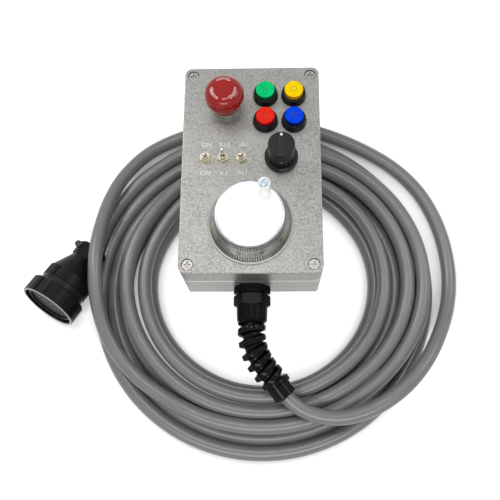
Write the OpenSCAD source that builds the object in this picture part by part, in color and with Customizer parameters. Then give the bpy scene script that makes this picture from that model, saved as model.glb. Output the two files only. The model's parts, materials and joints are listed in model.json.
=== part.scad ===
// Pendant control station: a hand-held machine control box with its cable and plug.
// The box lies flat on its own coiled cable. +Z points out of the operator face,
// +Y to the emergency-stop end, and the origin is the middle of the box with its controls.

/* [Enclosure] */
// Width of the box across the face
box_w = 100; // [96:1:140]
// Length of the box along the face
box_l = 160; // [155:1:220]
// Depth of the closed box
box_d = 60; // [52:1:90]
// Depth of the cover
lid_d = 20; // [16:1:24]
// Thickness of the side walls
wall = 3.5; // [3:0.25:4.5]
// Thickness of the face that carries the controls
panel_t = 3; // [2:0.25:4]
// Thickness of the base's floor
floor_t = 3; // [2.5:0.25:5]
// Radius of the upright corners
corner_r = 6; // [5:0.5:9]
// Radius of the edge around the floor
edge_r = 6; // [2:0.5:8]
// Draft angle of the base's walls
draft = 1.5; // [0:0.25:2.5]
// Radius that breaks the cover's front edge
face_edge_r = 0.8; // [0.3:0.1:1.5]
// Width of the sealing gasket
gasket_w = 1.4; // [1:0.1:1.8]
// Depth of the gasket's groove
gasket_t = 1; // [0.6:0.1:1.6]

/* [Cover screws] */
// Distance of each screw from the sides of the box
screw_inset = 6.5; // [6:0.25:9]
// Shank diameter of the screws
screw_d = 4; // [3:0.25:5]
// Head diameter of the screws
screw_head_d = 7.4; // [6:0.1:8]
// Head height of the screws
screw_head_h = 2.6; // [2:0.1:3.2]
// Depth of the recess for each head
screw_recess = 3.4; // [2.6:0.1:5]
// Length of thread in the base
screw_grip = 12; // [8:1:20]
// Wall of the screw pillars around the recess
pillar_wall = 1.2; // [1:0.1:2]

/* [Emergency stop] */
// Distance of its centre from the left side
estop_in_x = 31; // [28:0.5:33]
// Distance of its centre from the upper end
estop_in_y = 32.2; // [28:0.2:40]
// Diameter of the mushroom head
estop_head_d = 28.4; // [26:0.2:31]
// Height of the head's top above the face
estop_h = 25; // [22:0.5:30]
// Diameter of the collar on the face
estop_collar_d = 20.2; // [18:0.2:24]
// Height of the collar
estop_collar_h = 2.6; // [2:0.1:3.4]
// Diameter of the fixed neck inside the head's rim
estop_neck_d = 18.8; // [16:0.2:19.6]
// Thread diameter of the barrel
estop_barrel_d = 16; // [15:0.5:18]
// Diameter of the plunger stem
estop_stem_d = 6; // [5:0.5:8]
// Travel of the head
estop_travel = 4; // [3:0.5:5]
// Width of the contact block
estop_block_w = 20; // [18:0.5:24]
// Depth of the contact block
estop_block_d = 22; // [16:1:28]

/* [Push-buttons] */
// Distance of the outer column from the right side
button_in_x = 19; // [16:0.5:24]
// Distance of the upper row from the upper end
button_in_y = 24; // [22:0.5:30]
// Pitch of the columns
button_pitch_x = 20.7; // [20:0.1:24]
// Pitch of the rows
button_pitch_y = 21; // [20:0.1:24]
// Diameter of the bezel on the face
bezel_d = 18.4; // [17:0.2:19.6]
// Diameter of the bezel's upper rim
bezel_rim_d = 17; // [16:0.2:18.4]
// Height of the bezel
bezel_h = 5.8; // [4:0.2:7]
// Diameter of the coloured cap
cap_d = 13.6; // [12:0.2:14.4]
// Height of the cap's top above the face
cap_h = 10; // [9:0.2:12]
// Thread diameter of the barrel
barrel_d = 16; // [15.6:0.1:16.8]
// Travel of the cap
cap_travel = 2.5; // [1.5:0.1:3]
// Width of the contact block
block_w = 14; // [12:0.5:18]
// Depth of the contact block
block_d = 16; // [10:1:22]

/* [Toggle switches] */
// Distance of the first lever from the left side
toggle_in_x = 16.9; // [15:0.1:20]
// Pitch of the switches
toggle_pitch = 12.9; // [12.2:0.1:14]
// Thread diameter of the bushing
bushing_d = 4.8; // [4.4:0.1:5.4]
// Height of the bushing above the face
bushing_h = 4.4; // [4:0.1:6]
// Width of the hex nut across its flats
toggle_nut_af = 6.6; // [6.2:0.1:7.6]
// Length of the lever above its pivot
lever_l = 9.5; // [8:0.5:13]
// Diameter of the lever's tip
lever_tip_d = 2.3; // [1.9:0.1:2.8]
// Lean of a lever to either side
lever_lean = 12.5; // [8:0.5:14]
// Depth of the switch body
toggle_body_d = 10; // [8:0.5:14]

/* [Rotary control] */
// Distance of its centre from the right side
knob_in_x = 28.4; // [26:0.2:32]
// Diameter of the knob's skirt
skirt_d = 24; // [22:0.2:26]
// Height of the skirt
skirt_h = 4; // [3:0.2:6]
// Diameter of the grip
grip_d = 19.6; // [17:0.2:21]
// Height of the knob's top above the face
knob_h = 22.5; // [18:0.5:26]
// Number of flutes around the grip
flute_count = 18; // [12:1:24]
// Diameter of the shaft
knob_shaft_d = 6; // [5:0.5:7]
// Diameter of the rotary body
rotary_d = 17; // [15:0.5:24]
// Depth of the rotary body
rotary_depth = 12; // [8:1:20]

/* [Handwheel] */
// Distance of the wheel's centre from the lower end
wheel_in_y = 36; // [34:0.5:36.5]
// Place of the toggle and knob row above the middle between handwheel and buttons
row_shift = 0.1; // [-2:0.1:2]
// Width of the fixed flange around the encoder
flange_rim = 7; // [6.6:0.1:9]
// Thickness of the fixed flange
flange_t = 2; // [1.6:0.1:2.6]
// Diameter of the graduated cone at its foot
cone_d = 57; // [55:0.5:57.8]
// Diameter of the graduated cone at its top
cone_top_d = 47.6; // [46:0.2:50]
// Diameter of the flat disc
disc_d = 46.8; // [45:0.2:47.4]
// Height of the disc's top above the face
wheel_h = 21.5; // [18:0.5:26]
// Thickness of the disc
disc_t = 4.2; // [3.4:0.2:5]
// Radius at which the spinner handle stands
handle_r = 18.7; // [17:0.1:19]
// Height of the spinner handle
handle_h = 13.5; // [10:0.5:18]
// Diameter of the handle's foot
handle_d = 9.4; // [8.6:0.2:10]
// Diameter of the handle's screw
handle_screw_d = 4; // [3:0.2:4.4]
// Diameter of the encoder body
encoder_d = 46; // [40:0.5:48]
// Depth of the encoder body behind the face
encoder_depth = 18; // [12:1:22]
// Diameter of the wheel's shaft
wheel_shaft_d = 6; // [5:0.5:8]

/* [Cable gland] */
// Distance of the gland's axis below the cover's lower edge
gland_drop = 18; // [16:0.5:24]
// Thread diameter of the gland
gland_d = 20; // [18:0.5:22]
// Width of its hexagons across the flats
gland_af = 23.2; // [21:0.2:25]
// Thickness of the body's hexagon
gland_hex_t = 5.5; // [4.5:0.5:8]
// Thickness of the nut's hexagon
gland_nut_t = 8.5; // [6:0.5:10]
// Length of the nut's smooth barrel
gland_barrel_l = 12.2; // [8:0.1:14]
// Outer diameter of the spiral strain relief
spiral_d = 20.8; // [18:0.2:22]
// Diameter of the collar that ends the strain relief
collar_d = 17.2; // [15:0.2:17.6]
// Length of that collar
collar_l = 14; // [10:0.5:16]
// Pitch of the spiral
spiral_pitch = 7.2; // [6:0.1:9]

/* [Cable and plug] */
// Diameter of the cable
cable_d = 11; // [9:0.5:11]
// Inner radius of the cable's coil
coil_in_r = 81; // [76:1:90]
// Outer radius of the cable's coil
coil_out_r = 133; // [128:1:133]
// Height of the cable's coil
coil_h = 22; // [20:0.5:22]
// Diameter of the plug's coupling ring
ring_d = 44.8; // [42:0.2:45]
// Length of the coupling ring
ring_l = 14; // [12:0.5:18]
// Diameter of the plug's inner shell
shell_d = 36.6; // [35:0.2:37.4]
// Depth of the contact face behind the rim
face_recess = 3.4; // [2.6:0.2:4]
// Diameter of the back shell
backshell_d = 37.8; // [36:0.2:38.4]
// Length of the back shell's ribbed part
backshell_l = 10; // [8:0.2:14]
// Length of the back shell's cone
backcone_l = 16; // [12:0.5:18]
// Diameter of the cable clamp
clamp_d = 24.6; // [22:0.2:26]
// Length of the cable clamp
clamp_l = 13.6; // [10:0.2:16]

/* [Clearances] */
// Radial clearance of parts that turn or slide
run_gap = 0.08; // [0.02:0.01:0.1]
// Clearance of parts that are pushed together
seat_gap = 0.02; // [0.01:0.01:0.05]
// Clearance of bodies that pass each other
pass_gap = 0.4; // [0.3:0.05:0.6]
// Clearance of threads in the holes of the face
hole_gap = 0.1; // [0.05:0.05:0.2]

/* [Hidden] */
$fn = 64;
eps = 0.01;

// Heights of the whole object
controls_h = wheel_h + handle_h;
face_z = (box_d - controls_h) / 2;
back_z = face_z - box_d;
rim_z = face_z - lid_d;
table_z = back_z - coil_h;
panel_back = -panel_t;

// Places of the controls on the face
screw_x = box_w / 2 - screw_inset;
screw_y = box_l / 2 - screw_inset;
estop_at = [estop_in_x - box_w / 2, box_l / 2 - estop_in_y];
button_x = box_w / 2 - button_in_x;
button_y = box_l / 2 - button_in_y;
green_at = [button_x - button_pitch_x, button_y];
yellow_at = [button_x, button_y];
red_at = [button_x - button_pitch_x, button_y - button_pitch_y];
blue_at = [button_x, button_y - button_pitch_y];
buttons_at = [green_at, yellow_at, red_at, blue_at];
wheel_at = [0, wheel_in_y - box_l / 2];
flange_d = encoder_d + 2 * flange_rim;
row_y = (wheel_at[1] + flange_d / 2 + red_at[1] - bezel_d / 2) / 2 + row_shift;
toggle_x = toggle_in_x - box_w / 2;
toggles_at = [for (i = [0 : 2]) [toggle_x + i * toggle_pitch, row_y]];
knob_at = [box_w / 2 - knob_in_x, row_y];
end_y = -box_l / 2;
gland_z = rim_z - gland_drop;
gland_y = end_y + (gland_drop - gland_af / 2) * tan(draft) - seat_gap;

// Small parts that follow the sizes above
recess_gap = 0.5;
recess_d = screw_head_d + 2 * recess_gap;
pillar_d = recess_d + 2 * pillar_wall;
cross_w = 1.1;
cross_deep = 1.1;
cross_share = 0.6;
inner_edge_r = 2;
gasket_inset = (wall - gasket_w) / 2;
seal_t = 0.8;
barrel_back = 11;
estop_rim_z = estop_travel + 2 * pass_gap;
estop_rim_t = 0.9;
estop_cap_t = 5;
estop_neck_top = estop_rim_z + estop_travel + 1;
estop_barrel_l = panel_t + barrel_back;
stem_foot = 3;
nut_t = 4;
nut_wall = 1.5;
hex_wall = 2;
barrel_l = panel_t + barrel_back;
plunger_d = 4;
tag_t = 0.8;
tag_w = 2.4;
tag_l = 4;
cap_skirt = 2;
washer_t = 0.6;
washer_rim = 0.5;
toggle_nut_t = 2;
toggle_pivot = bushing_h - 2;
lever_ball_d = 3;
lever_root_d = 1.5;
lever_heel_l = 2.6;
lever_heel_d = 1.2;
pivot_d = 1;
pivot_inset = 0.3;
bushing_bore = lever_ball_d + 2 * run_gap;
toggle_body_w = 8;
toggle_body_l = 13;
selector_thread_d = 9;
selector_nut_t = 2.2;
selector_nut_af = 12;
rotary_floor = 3;
knob_foot = 0.6;
knob_cap_t = 6;
grip_top_d = grip_d - 0.8;
grip_edge_r = 1;
pointer_w = 1.7;
pointer_groove = 0.3;
pointer_y = grip_top_d / 2 - grip_edge_r - pass_gap - pointer_w / 2;
set_screw_d = 3;
set_screw_z = 10.5;
groove_h = 0.8;
cone_foot = flange_t + pass_gap;
cone_top = wheel_h - disc_t - groove_h;
wheel_wall = 3;
hub_d = 14;
spigot_pcd = encoder_d + flange_rim;
encoder_screw_d = 3;
encoder_plug_l = 30;
encoder_plug_w = 8;
encoder_plug_h = 6;
handle_angle = 32;
handle_at = [handle_r * sin(handle_angle), handle_r * cos(handle_angle)];
handle_bore_step = 3.2;
handle_head_d = 6.8;
gland_neck = 1;
locknut_t = 5;
locknut_af = gland_af + 1.8;
locknut_at = wall + (gland_af + locknut_af) / 2 * tan(draft) + pass_gap;
gland_mouth = gland_hex_t + gland_neck + gland_nut_t + gland_barrel_l;
gland_bore = cable_d + 1;
seal_d = 15.4;
sleeve_d = cable_d + 2;
tail_in = 18;
clamp_screw_d = 3;
clamp_head_d = 5.2;
clamp_head_h = 1.6;

// Where the plug lies: middle of its front rim above the table, heading and lift
plug_heading = 240;
plug_lift = 13;
plug_rest = 0.3;
plug_front = [-157, end_y - 10.3, table_z + plug_rest + ring_d / 2 * cos(plug_lift) + ring_l * sin(plug_lift)];
plug_dir = [cos(plug_lift) * cos(plug_heading), cos(plug_lift) * sin(plug_heading), sin(plug_lift)];
shell_wall = 1.2;
shell_step = 1.8;
shell_neck_r = shell_d / 2 - shell_step;
shell_set_back = 2;
wire_bore = 20;
ring_wall = 2;
ring_lip = 5;
shell_back = ring_l + pass_gap;
shell_flange_t = 4.5;
backshell_at = shell_back + shell_flange_t;
clamp_at = backshell_at + backshell_l + backcone_l;
plug_l = clamp_at + clamp_l;
plug_tail = plug_front - plug_l * plug_dir;
insert_t = 4.6;
insert_r = shell_d / 2 - shell_wall - seat_gap;
pin_pitch = 3.7;

// Routes below start at the middle of the box's lower end, with heights above the table
cord_zero = [0, end_y, table_z];
// Middle of the coil on the table
coil_at = cord_zero + [6, 12, 0];
// Route of the cable from the strain relief to the coil
lead_route = [[24.5, -77.5, 31.2], [33.5, -85, 29.2], [47.5, -90.6, 28], [66, -91.5, 27.8], [86, -85.5, 27.8],
    [103.5, -75, 27.8], [117, -63, 27], [129, -48, 24], [139.5, -30, 17.5], [148, -10, 10.5], [152.5, 10, 6.5],
    [153, 30, 5.5], [149.5, 53, 5.5], [142, 75, 5.5], [131, 94, 5.5], [114, 112, 5.5], [92, 127, 5.5],
    [66, 140, 5.5], [38, 149, 5.5], [6, 152.5, 5.5], [-28, 151, 5.5], [-61, 141.5, 5.5], [-88, 127, 6.5],
    [-106, 106, 11], [-115.5, 82, 18.5], [-120, 55, 26.5], [-121, 30, 32.3], [-119.5, 4, 32],
    [-115.5, -17, 27], [-109, -34, 22], [-98, -50.5, 18.3], [-82.5, -65.5, 16.7], [-62, -79, 16.5]];
// Route of the cable from the plug's clamp into the coil
plug_route = [[-121.5, 51.5, 9.5], [-115, 63.5, 6.8], [-107, 75.5, 5.5], [-97, 87, 5.5], [-84, 98.5, 5.5]];
// Bend of the strain relief, as shares of its way from the gland's mouth to the foot of its collar
sleeve_bend = [[0, 0, 0], [0, 0.24, 0], [0.13, 0.5, 0.25], [0.5, 0.77, 0.64], [1, 1, 1]];

// Rounded plate outline, centred
module rounded_rect(w, l, r) {
    square([w - 2 * r, l], center = true);
    square([w, l - 2 * r], center = true);
    for (sx = [-1, 1], sy = [-1, 1])
        translate([sx * (w / 2 - r), sy * (l / 2 - r)]) circle(r);
}

// Side profile of a drafted pan, open end up at zero, with rounded lower edges
module pan_profile(w, h, a, r) {
    cx = w / 2 - (h - r) * tan(a) - r / cos(a);
    side = [cx + r * cos(a), r - h - r * sin(a)];
    polygon([[-w / 2, 0], [w / 2, 0], side, [cx, -h], [-cx, -h], [-side[0], side[1]]]);
    for (s = [-1, 1]) translate([s * cx, r - h]) circle(r);
}

// Solid block with drafted sides and rounded corners, hanging below zero
module drafted_block(w, l, h, a, r, edge) {
    intersection() {
        translate([0, 0, -h]) linear_extrude(h) rounded_rect(w, l, r);
        rotate([90, 0, 0]) linear_extrude(l, center = true) pan_profile(w, h, a, edge);
        rotate([90, 0, 90]) linear_extrude(w, center = true) pan_profile(l, h, a, edge);
    }
}

// Hexagonal prism by its width across the flats, a flat facing the first axis at turn 30
module hex(af, h, turn = 0) {
    rotate([0, 0, turn]) cylinder(h = h, d = af / cos(30), $fn = 6);
}

module tube(d, bore, h) {
    difference() {
        cylinder(h = h, d = d);
        translate([0, 0, -1]) cylinder(h = h + 2, d = bore);
    }
}

// Children moved to a place on the operator face, zero at the face
module on_face(p) { translate([p[0], p[1], face_z]) children(); }

module at_screws() {
    for (sx = [-1, 1], sy = [-1, 1]) translate([sx * screw_x, sy * screw_y, 0]) children();
}

// Children along the gland, zero at the end wall's outside and pointing away from it
module along_gland() { translate([0, gland_y, gland_z]) rotate([90, 0, 0]) children(); }

// Children along the plug, zero at its front rim and negative behind it
module along_plug() {
    translate(plug_front) rotate([0, 0, plug_heading]) rotate([0, 90 - plug_lift, 0]) children();
}

// Points of an arc about a centre
function arc(c, r, a0, a1, n = 8) = [for (i = [0 : n]) let (a = a0 + (a1 - a0) * i / n)
    c + r * [cos(a), sin(a)]];

// Smooth curve through a list of points, at a place counted in points
function curve_at(p, s) = let (
    n = len(p) - 1, i = min(floor(s), n - 1), t = s - i, b = p[i], c = p[i + 1],
    a = i > 0 ? p[i - 1] : 3 * (p[0] - p[1]) + p[2],
    d = i < n - 1 ? p[i + 2] : 3 * (p[n] - p[n - 1]) + p[n - 2])
    0.5 * (2 * b + (c - a) * t + (2 * a - 5 * b + 4 * c - d) * t * t + (3 * b - a - 3 * c + d) * t * t * t);
function unit(v) = v / norm(v);
function route_length(p, i = 1) = i < len(p) ? norm(p[i] - p[i - 1]) + route_length(p, i + 1) : 0;
function heading_at(p, s) = let (e = 0.02, n = len(p) - 1)
    unit(curve_at(p, min(s + e, n)) - curve_at(p, max(s - e, 0)));

// Ring of points around a curve; radii holds one radius for each side
function ring_at(p, s, radii) = let (
    c = curve_at(p, s), t = heading_at(p, s), x = unit(cross(t, [0, 0, 1])), y = cross(x, t), n = len(radii))
    [for (j = [0 : n - 1]) c + radii[j] * (cos(360 * j / n) * x + sin(360 * j / n) * y)];

// Closed skin over a row of rings
module skin(rings) {
    n = len(rings);
    m = len(rings[0]);
    sides = [for (i = [0 : n - 2], j = [0 : m - 1]) let (a = i * m + j, b = i * m + (j + 1) % m)
        each [[a, b, a + m], [b, b + m, a + m]]];
    caps = [[for (j = [m - 1 : -1 : 0]) j], [for (j = [0 : m - 1]) (n - 1) * m + j]];
    polyhedron([for (ring = rings) each ring], concat(sides, caps));
}

// Plain cable along a route
module cable_tube(route, steps) {
    radii = [for (j = [0 : 9]) cable_d / 2];
    last = len(route) - 1;
    skin([for (i = [0 : steps]) ring_at(route, last * i / steps, radii)]);
}

// Enclosure
module base_box() {
    base_h = box_d - lid_d;
    inner_r = max(corner_r - wall, 1);
    color("silver") difference() {
        translate([0, 0, rim_z]) drafted_block(box_w, box_l, base_h, draft, corner_r, edge_r);
        difference() {
            translate([0, 0, rim_z + eps])
                drafted_block(box_w - 2 * wall, box_l - 2 * wall, base_h - floor_t + eps, draft, inner_r,
                    inner_edge_r);
            at_screws() translate([0, 0, back_z]) cylinder(h = base_h + 1, d = pillar_d);
        }
        at_screws() translate([0, 0, rim_z - screw_grip - 1])
            cylinder(h = screw_grip + 2, d = screw_d + 2 * seat_gap);
        translate([0, 0, rim_z - gasket_t]) linear_extrude(gasket_t + 1) gasket_outline(hole_gap);
        along_gland() translate([0, 0, -2 * wall]) cylinder(h = 3 * wall, d = gland_d + 2 * hole_gap);
    }
}

module gasket_outline(gap) {
    outer = 2 * (gasket_inset - gap);
    inner = 2 * (gasket_inset + gasket_w + gap);
    difference() {
        rounded_rect(box_w - outer, box_l - outer, corner_r - gasket_inset + gap);
        rounded_rect(box_w - inner, box_l - inner, max(corner_r - gasket_inset - gasket_w - gap, 1));
    }
}

module cover_gasket() {
    color("dimgray") translate([0, 0, rim_z - gasket_t]) linear_extrude(gasket_t) gasket_outline(0);
}

module cover() {
    inner_r = max(corner_r - wall, 1);
    color("silver") difference() {
        translate([0, 0, rim_z]) rotate([180, 0, 0])
            drafted_block(box_w, box_l, lid_d, 0, corner_r, face_edge_r);
        difference() {
            translate([0, 0, rim_z - eps]) linear_extrude(lid_d - panel_t + eps)
                rounded_rect(box_w - 2 * wall, box_l - 2 * wall, inner_r);
            at_screws() translate([0, 0, rim_z - 1]) cylinder(h = lid_d + 1, d = pillar_d);
        }
        at_screws() {
            translate([0, 0, rim_z - 1]) cylinder(h = lid_d + 2, d = screw_d + 2 * hole_gap);
            translate([0, 0, face_z - screw_recess]) cylinder(h = screw_recess + 1, d = recess_d);
        }
        face_hole(estop_at, estop_barrel_d);
        for (p = buttons_at) face_hole(p, barrel_d);
        for (p = toggles_at) face_hole(p, bushing_d);
        face_hole(knob_at, selector_thread_d);
        face_hole(wheel_at, encoder_d);
        on_face(wheel_at) encoder_screw_places() translate([0, 0, -panel_t - 1])
            cylinder(h = panel_t + 2, d = encoder_screw_d + 2 * hole_gap);
    }
}

module face_hole(p, d) {
    on_face(p) translate([0, 0, -panel_t - 1]) cylinder(h = panel_t + 2, d = d + 2 * hole_gap);
}

module cover_screws() {
    shank = lid_d - screw_recess + screw_grip;
    color("gainsboro") at_screws() translate([0, 0, face_z - screw_recess]) difference() {
        union() {
            cylinder(h = screw_head_h, d = screw_head_d);
            translate([0, 0, -shank]) cylinder(h = shank, d = screw_d);
        }
        for (turn = [0, 90]) rotate([0, 0, turn])
            translate([0, 0, screw_head_h])
                cube([screw_head_d * cross_share, cross_w, 2 * cross_deep], center = true);
    }
}

// Emergency stop
module estop_head() {
    r = estop_head_d / 2;
    rim_r = estop_collar_d / 2 + pass_gap;
    flare_h = estop_head_d * 0.3;
    edge_r = 2;
    crown_r = 8;
    color("firebrick") on_face(estop_at) difference() {
        rotate_extrude() polygon(concat(
            [[0, estop_rim_z], [rim_r + estop_rim_t, estop_rim_z], [r - 0.8, estop_rim_z + flare_h]],
            arc([r - edge_r, estop_rim_z + flare_h + edge_r], edge_r, -35, 0, 4),
            arc([r - crown_r, estop_h - crown_r], crown_r, 0, 80, 10),
            [[r * 0.35, estop_h], [0, estop_h]]));
        cylinder(h = estop_neck_top + estop_travel + pass_gap, r = rim_r);
        cylinder(h = estop_h - estop_cap_t, d = estop_stem_d + 2 * run_gap);
    }
}

module estop_stem() {
    foot = -estop_barrel_l - stem_foot;
    color("gray") on_face(estop_at) translate([0, 0, foot])
        cylinder(h = estop_h - estop_cap_t - pass_gap - foot, d = estop_stem_d);
}

module estop_collar() {
    r = estop_collar_d / 2;
    chamfer = 0.8;
    color("lightgray") on_face(estop_at) difference() {
        union() {
            translate([0, 0, seal_t]) rotate_extrude() polygon([[0, 0], [r, 0], [r, estop_collar_h - chamfer],
                [r - chamfer, estop_collar_h], [0, estop_collar_h]]);
            translate([0, 0, seal_t]) cylinder(h = estop_neck_top - seal_t, d = estop_neck_d);
            translate([0, 0, -estop_barrel_l]) cylinder(h = estop_barrel_l + seal_t + eps, d = estop_barrel_d);
        }
        translate([0, 0, -estop_barrel_l - 1])
            cylinder(h = estop_barrel_l + estop_neck_top + 2, d = estop_stem_d + 2 * run_gap);
    }
}

module estop_seal() {
    color("black") on_face(estop_at) tube(estop_collar_d - hole_gap, estop_barrel_d + 2 * hole_gap, seal_t);
}

module estop_nut() {
    color("dimgray") on_face(estop_at) translate([0, 0, panel_back - nut_t]) difference() {
        hex(estop_barrel_d + 2 * hex_wall, nut_t);
        translate([0, 0, -1]) cylinder(h = nut_t + 2, d = estop_barrel_d + 2 * seat_gap);
    }
}

module estop_contact_block() {
    stem_room = stem_foot + estop_travel + 2;
    color("darkslategray") on_face(estop_at) translate([0, 0, -estop_barrel_l]) difference() {
        union() {
            translate([0, 0, -estop_block_d / 2])
                cube([estop_block_w, estop_block_w, estop_block_d], center = true);
            terminals(estop_block_w, estop_block_d);
        }
        translate([0, 0, -stem_room]) cylinder(h = stem_room + 1, d = estop_stem_d + 2 * pass_gap);
    }
}

// Four solder tags under a contact block
module terminals(w, d) {
    for (sx = [-1, 1], sy = [-1, 1])
        translate([sx * w / 3, sy * w / 4, -d]) cube([tag_t, tag_w, 2 * tag_l], center = true);
}

// Push-buttons
module button_cap(p, colour) {
    r = cap_d / 2;
    edge_r = 0.9;
    plunger_foot = cap_travel + 1.2 - barrel_l;
    color(colour) on_face(p) {
        translate([0, 0, -cap_skirt]) rotate_extrude() polygon(concat([[0, 0], [r, 0]],
            arc([r - edge_r, cap_h + cap_skirt - edge_r], edge_r, 0, 90, 5), [[0, cap_h + cap_skirt]]));
        translate([0, 0, plunger_foot]) cylinder(h = -cap_skirt - plunger_foot, d = plunger_d);
    }
}

module button_bezel(p) {
    well = cap_skirt + cap_travel + 1;
    foot_h = 1.2;
    edge_r = 0.8;
    barrel_wall = 2;
    color([0.1, 0.1, 0.11]) on_face(p) difference() {
        union() {
            rotate_extrude() polygon(concat([[0, 0], [bezel_d / 2, 0], [bezel_d / 2, foot_h]],
                arc([bezel_rim_d / 2 - edge_r, bezel_h - edge_r], edge_r, 0, 90, 5), [[0, bezel_h]]));
            translate([0, 0, -barrel_l]) cylinder(h = barrel_l + 1, d = barrel_d);
        }
        translate([0, 0, -well]) cylinder(h = well + bezel_h + 1, d = cap_d + 2 * run_gap);
        translate([0, 0, -barrel_l - 1]) cylinder(h = barrel_l, d = plunger_d + 2 * run_gap);
        translate([0, 0, -barrel_l - 1]) cylinder(h = barrel_l - well - 1, d = barrel_d - 2 * barrel_wall);
    }
}

module button_nuts() {
    color("dimgray") for (p = buttons_at) on_face(p) translate([0, 0, panel_back - nut_t])
        tube(barrel_d + 2 * nut_wall, barrel_d + 2 * seat_gap, nut_t);
}

module contact_block(p) {
    color("darkslategray") on_face(p) translate([0, 0, -barrel_l]) {
        translate([0, 0, -block_d / 2]) cube([block_w, block_w, block_d], center = true);
        terminals(block_w, block_d);
    }
}

// Toggle switches
module toggle_lever(p, lean) {
    color("gainsboro") on_face(p) translate([0, 0, toggle_pivot]) rotate([lean, 0, 0]) {
        sphere(d = lever_ball_d);
        rotate([0, 90, 0]) cylinder(h = bushing_d - 2 * pivot_inset, d = pivot_d, center = true);
        translate([0, 0, -lever_heel_l]) cylinder(h = lever_heel_l, d = lever_heel_d);
        cylinder(h = lever_l - lever_tip_d / 2, d1 = lever_root_d, d2 = lever_tip_d);
        translate([0, 0, lever_l - lever_tip_d / 2]) sphere(d = lever_tip_d);
    }
}

module toggle_body(p) {
    tag_pitch = 4.6;
    swing_room = 5;
    color("steelblue") on_face(p) difference() {
        union() {
            translate([0, 0, panel_back - toggle_body_d / 2])
                cube([toggle_body_w, toggle_body_l, toggle_body_d], center = true);
            translate([0, 0, panel_back - 1]) cylinder(h = panel_t + bushing_h + 1, d = bushing_d);
            for (i = [-1 : 1]) translate([0, tag_pitch * i, panel_back - toggle_body_d])
                cube([tag_w, tag_t, 2 * tag_l], center = true);
        }
        translate([0, 0, toggle_pivot - swing_room])
            cylinder(h = swing_room + bushing_h, d = bushing_bore);
        translate([0, 0, toggle_pivot]) rotate([0, 90, 0])
            cylinder(h = 2 * bushing_d, d = pivot_d + 2 * run_gap, center = true);
    }
}

module toggle_nuts() {
    color("darkkhaki") for (p = toggles_at) on_face(p) translate([0, 0, washer_t]) difference() {
        hex(toggle_nut_af, toggle_nut_t, 30);
        translate([0, 0, -1]) cylinder(h = toggle_nut_t + 2, d = bushing_d + 2 * seat_gap);
    }
}

module toggle_washers() {
    color("tan") for (p = toggles_at) on_face(p)
        tube(toggle_nut_af + 2 * washer_rim, bushing_d + 2 * seat_gap, washer_t);
}

// Rotary control
module selector_knob() {
    flute_d = 1.6;
    flute_l = knob_h * 0.56;
    flute_foot = skirt_h + 0.6;
    skirt_top = skirt_h - knob_foot;
    grip_top = knob_h - knob_foot;
    nut_room = selector_nut_af / cos(30) + 2 * pass_gap + 0.6;
    groove_l = grip_top_d - 2 * (grip_edge_r + pass_gap);
    color([0.09, 0.09, 0.1]) on_face(knob_at) difference() {
        union() {
            translate([0, 0, knob_foot]) rotate_extrude() polygon([[0, 0], [skirt_d / 2, 0],
                [skirt_d / 2, skirt_top - 1], [skirt_d / 2 - 1.2, skirt_top], [0, skirt_top]]);
            translate([0, 0, knob_foot]) rotate_extrude() polygon(concat([[0, 0], [grip_d / 2, 0]],
                arc([grip_top_d / 2 - grip_edge_r, grip_top - grip_edge_r], grip_edge_r, 0, 90, 4),
                [[0, grip_top]]));
        }
        for (i = [0 : flute_count - 1]) rotate([0, 0, i * 360 / flute_count])
            translate([grip_d / 2 + 0.1, 0, flute_foot]) cylinder(h = flute_l, d = flute_d);
        translate([0, 0, -1]) cylinder(h = knob_foot + selector_nut_t + 2, d = nut_room);
        cylinder(h = knob_h - knob_cap_t, d = knob_shaft_d + 2 * seat_gap);
        translate([0, pointer_y, knob_h]) pointer_block(seat_gap);
        translate([0, 0, knob_h]) cube([pointer_w, groove_l, 2 * pointer_groove], center = true);
        translate([0, 0, set_screw_z]) rotate([90, 0, 0])
            cylinder(h = grip_d, d = set_screw_d + 2 * seat_gap);
    }
}

module pointer_block(gap) {
    cube([pointer_w + 2 * gap, pointer_w + 2 * gap, 2], center = true);
}

module knob_pointer() {
    color("white") on_face(knob_at) translate([0, pointer_y, knob_h]) difference() {
        pointer_block(0);
        translate([0, 0, 1]) cube([pointer_w + 1, pointer_w + 1, 2], center = true);
    }
}

module knob_set_screw() {
    seat = knob_shaft_d / 2 + seat_gap;
    color("goldenrod") on_face(knob_at) translate([0, -seat, set_screw_z]) rotate([90, 0, 0])
        cylinder(h = grip_d / 2 - 1 - seat, d = set_screw_d);
}

module selector_shaft() {
    foot = panel_back - rotary_depth + rotary_floor;
    color("lightgray") on_face(knob_at) translate([0, 0, foot])
        cylinder(h = knob_h - knob_cap_t - pass_gap - foot, d = knob_shaft_d);
}

module selector_nut() {
    color("silver") on_face(knob_at) difference() {
        hex(selector_nut_af, selector_nut_t);
        translate([0, 0, -1]) cylinder(h = selector_nut_t + 2, d = selector_thread_d + 2 * seat_gap);
    }
}

module selector_body() {
    thread_h = selector_nut_t + 0.4;
    tag_pitch = 5;
    color("seagreen") on_face(knob_at) difference() {
        union() {
            translate([0, 0, panel_back - rotary_depth]) cylinder(h = rotary_depth, d = rotary_d);
            translate([0, 0, panel_back - 1])
                cylinder(h = panel_t + thread_h + 1, d = selector_thread_d);
            for (i = [-1 : 1]) translate([tag_pitch * i, -rotary_d / 2, panel_back - rotary_depth + tag_w])
                cube([tag_w / 2, 2 * tag_l, tag_t], center = true);
        }
        translate([0, 0, panel_back - rotary_depth + rotary_floor - pass_gap])
            cylinder(h = rotary_depth + panel_t + selector_nut_t, d = knob_shaft_d + 2 * run_gap);
    }
}

// Handwheel
module encoder_screw_places() {
    for (turn = [90, 210, 330]) rotate([0, 0, turn]) translate([spigot_pcd / 2, 0, 0]) children();
}

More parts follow.
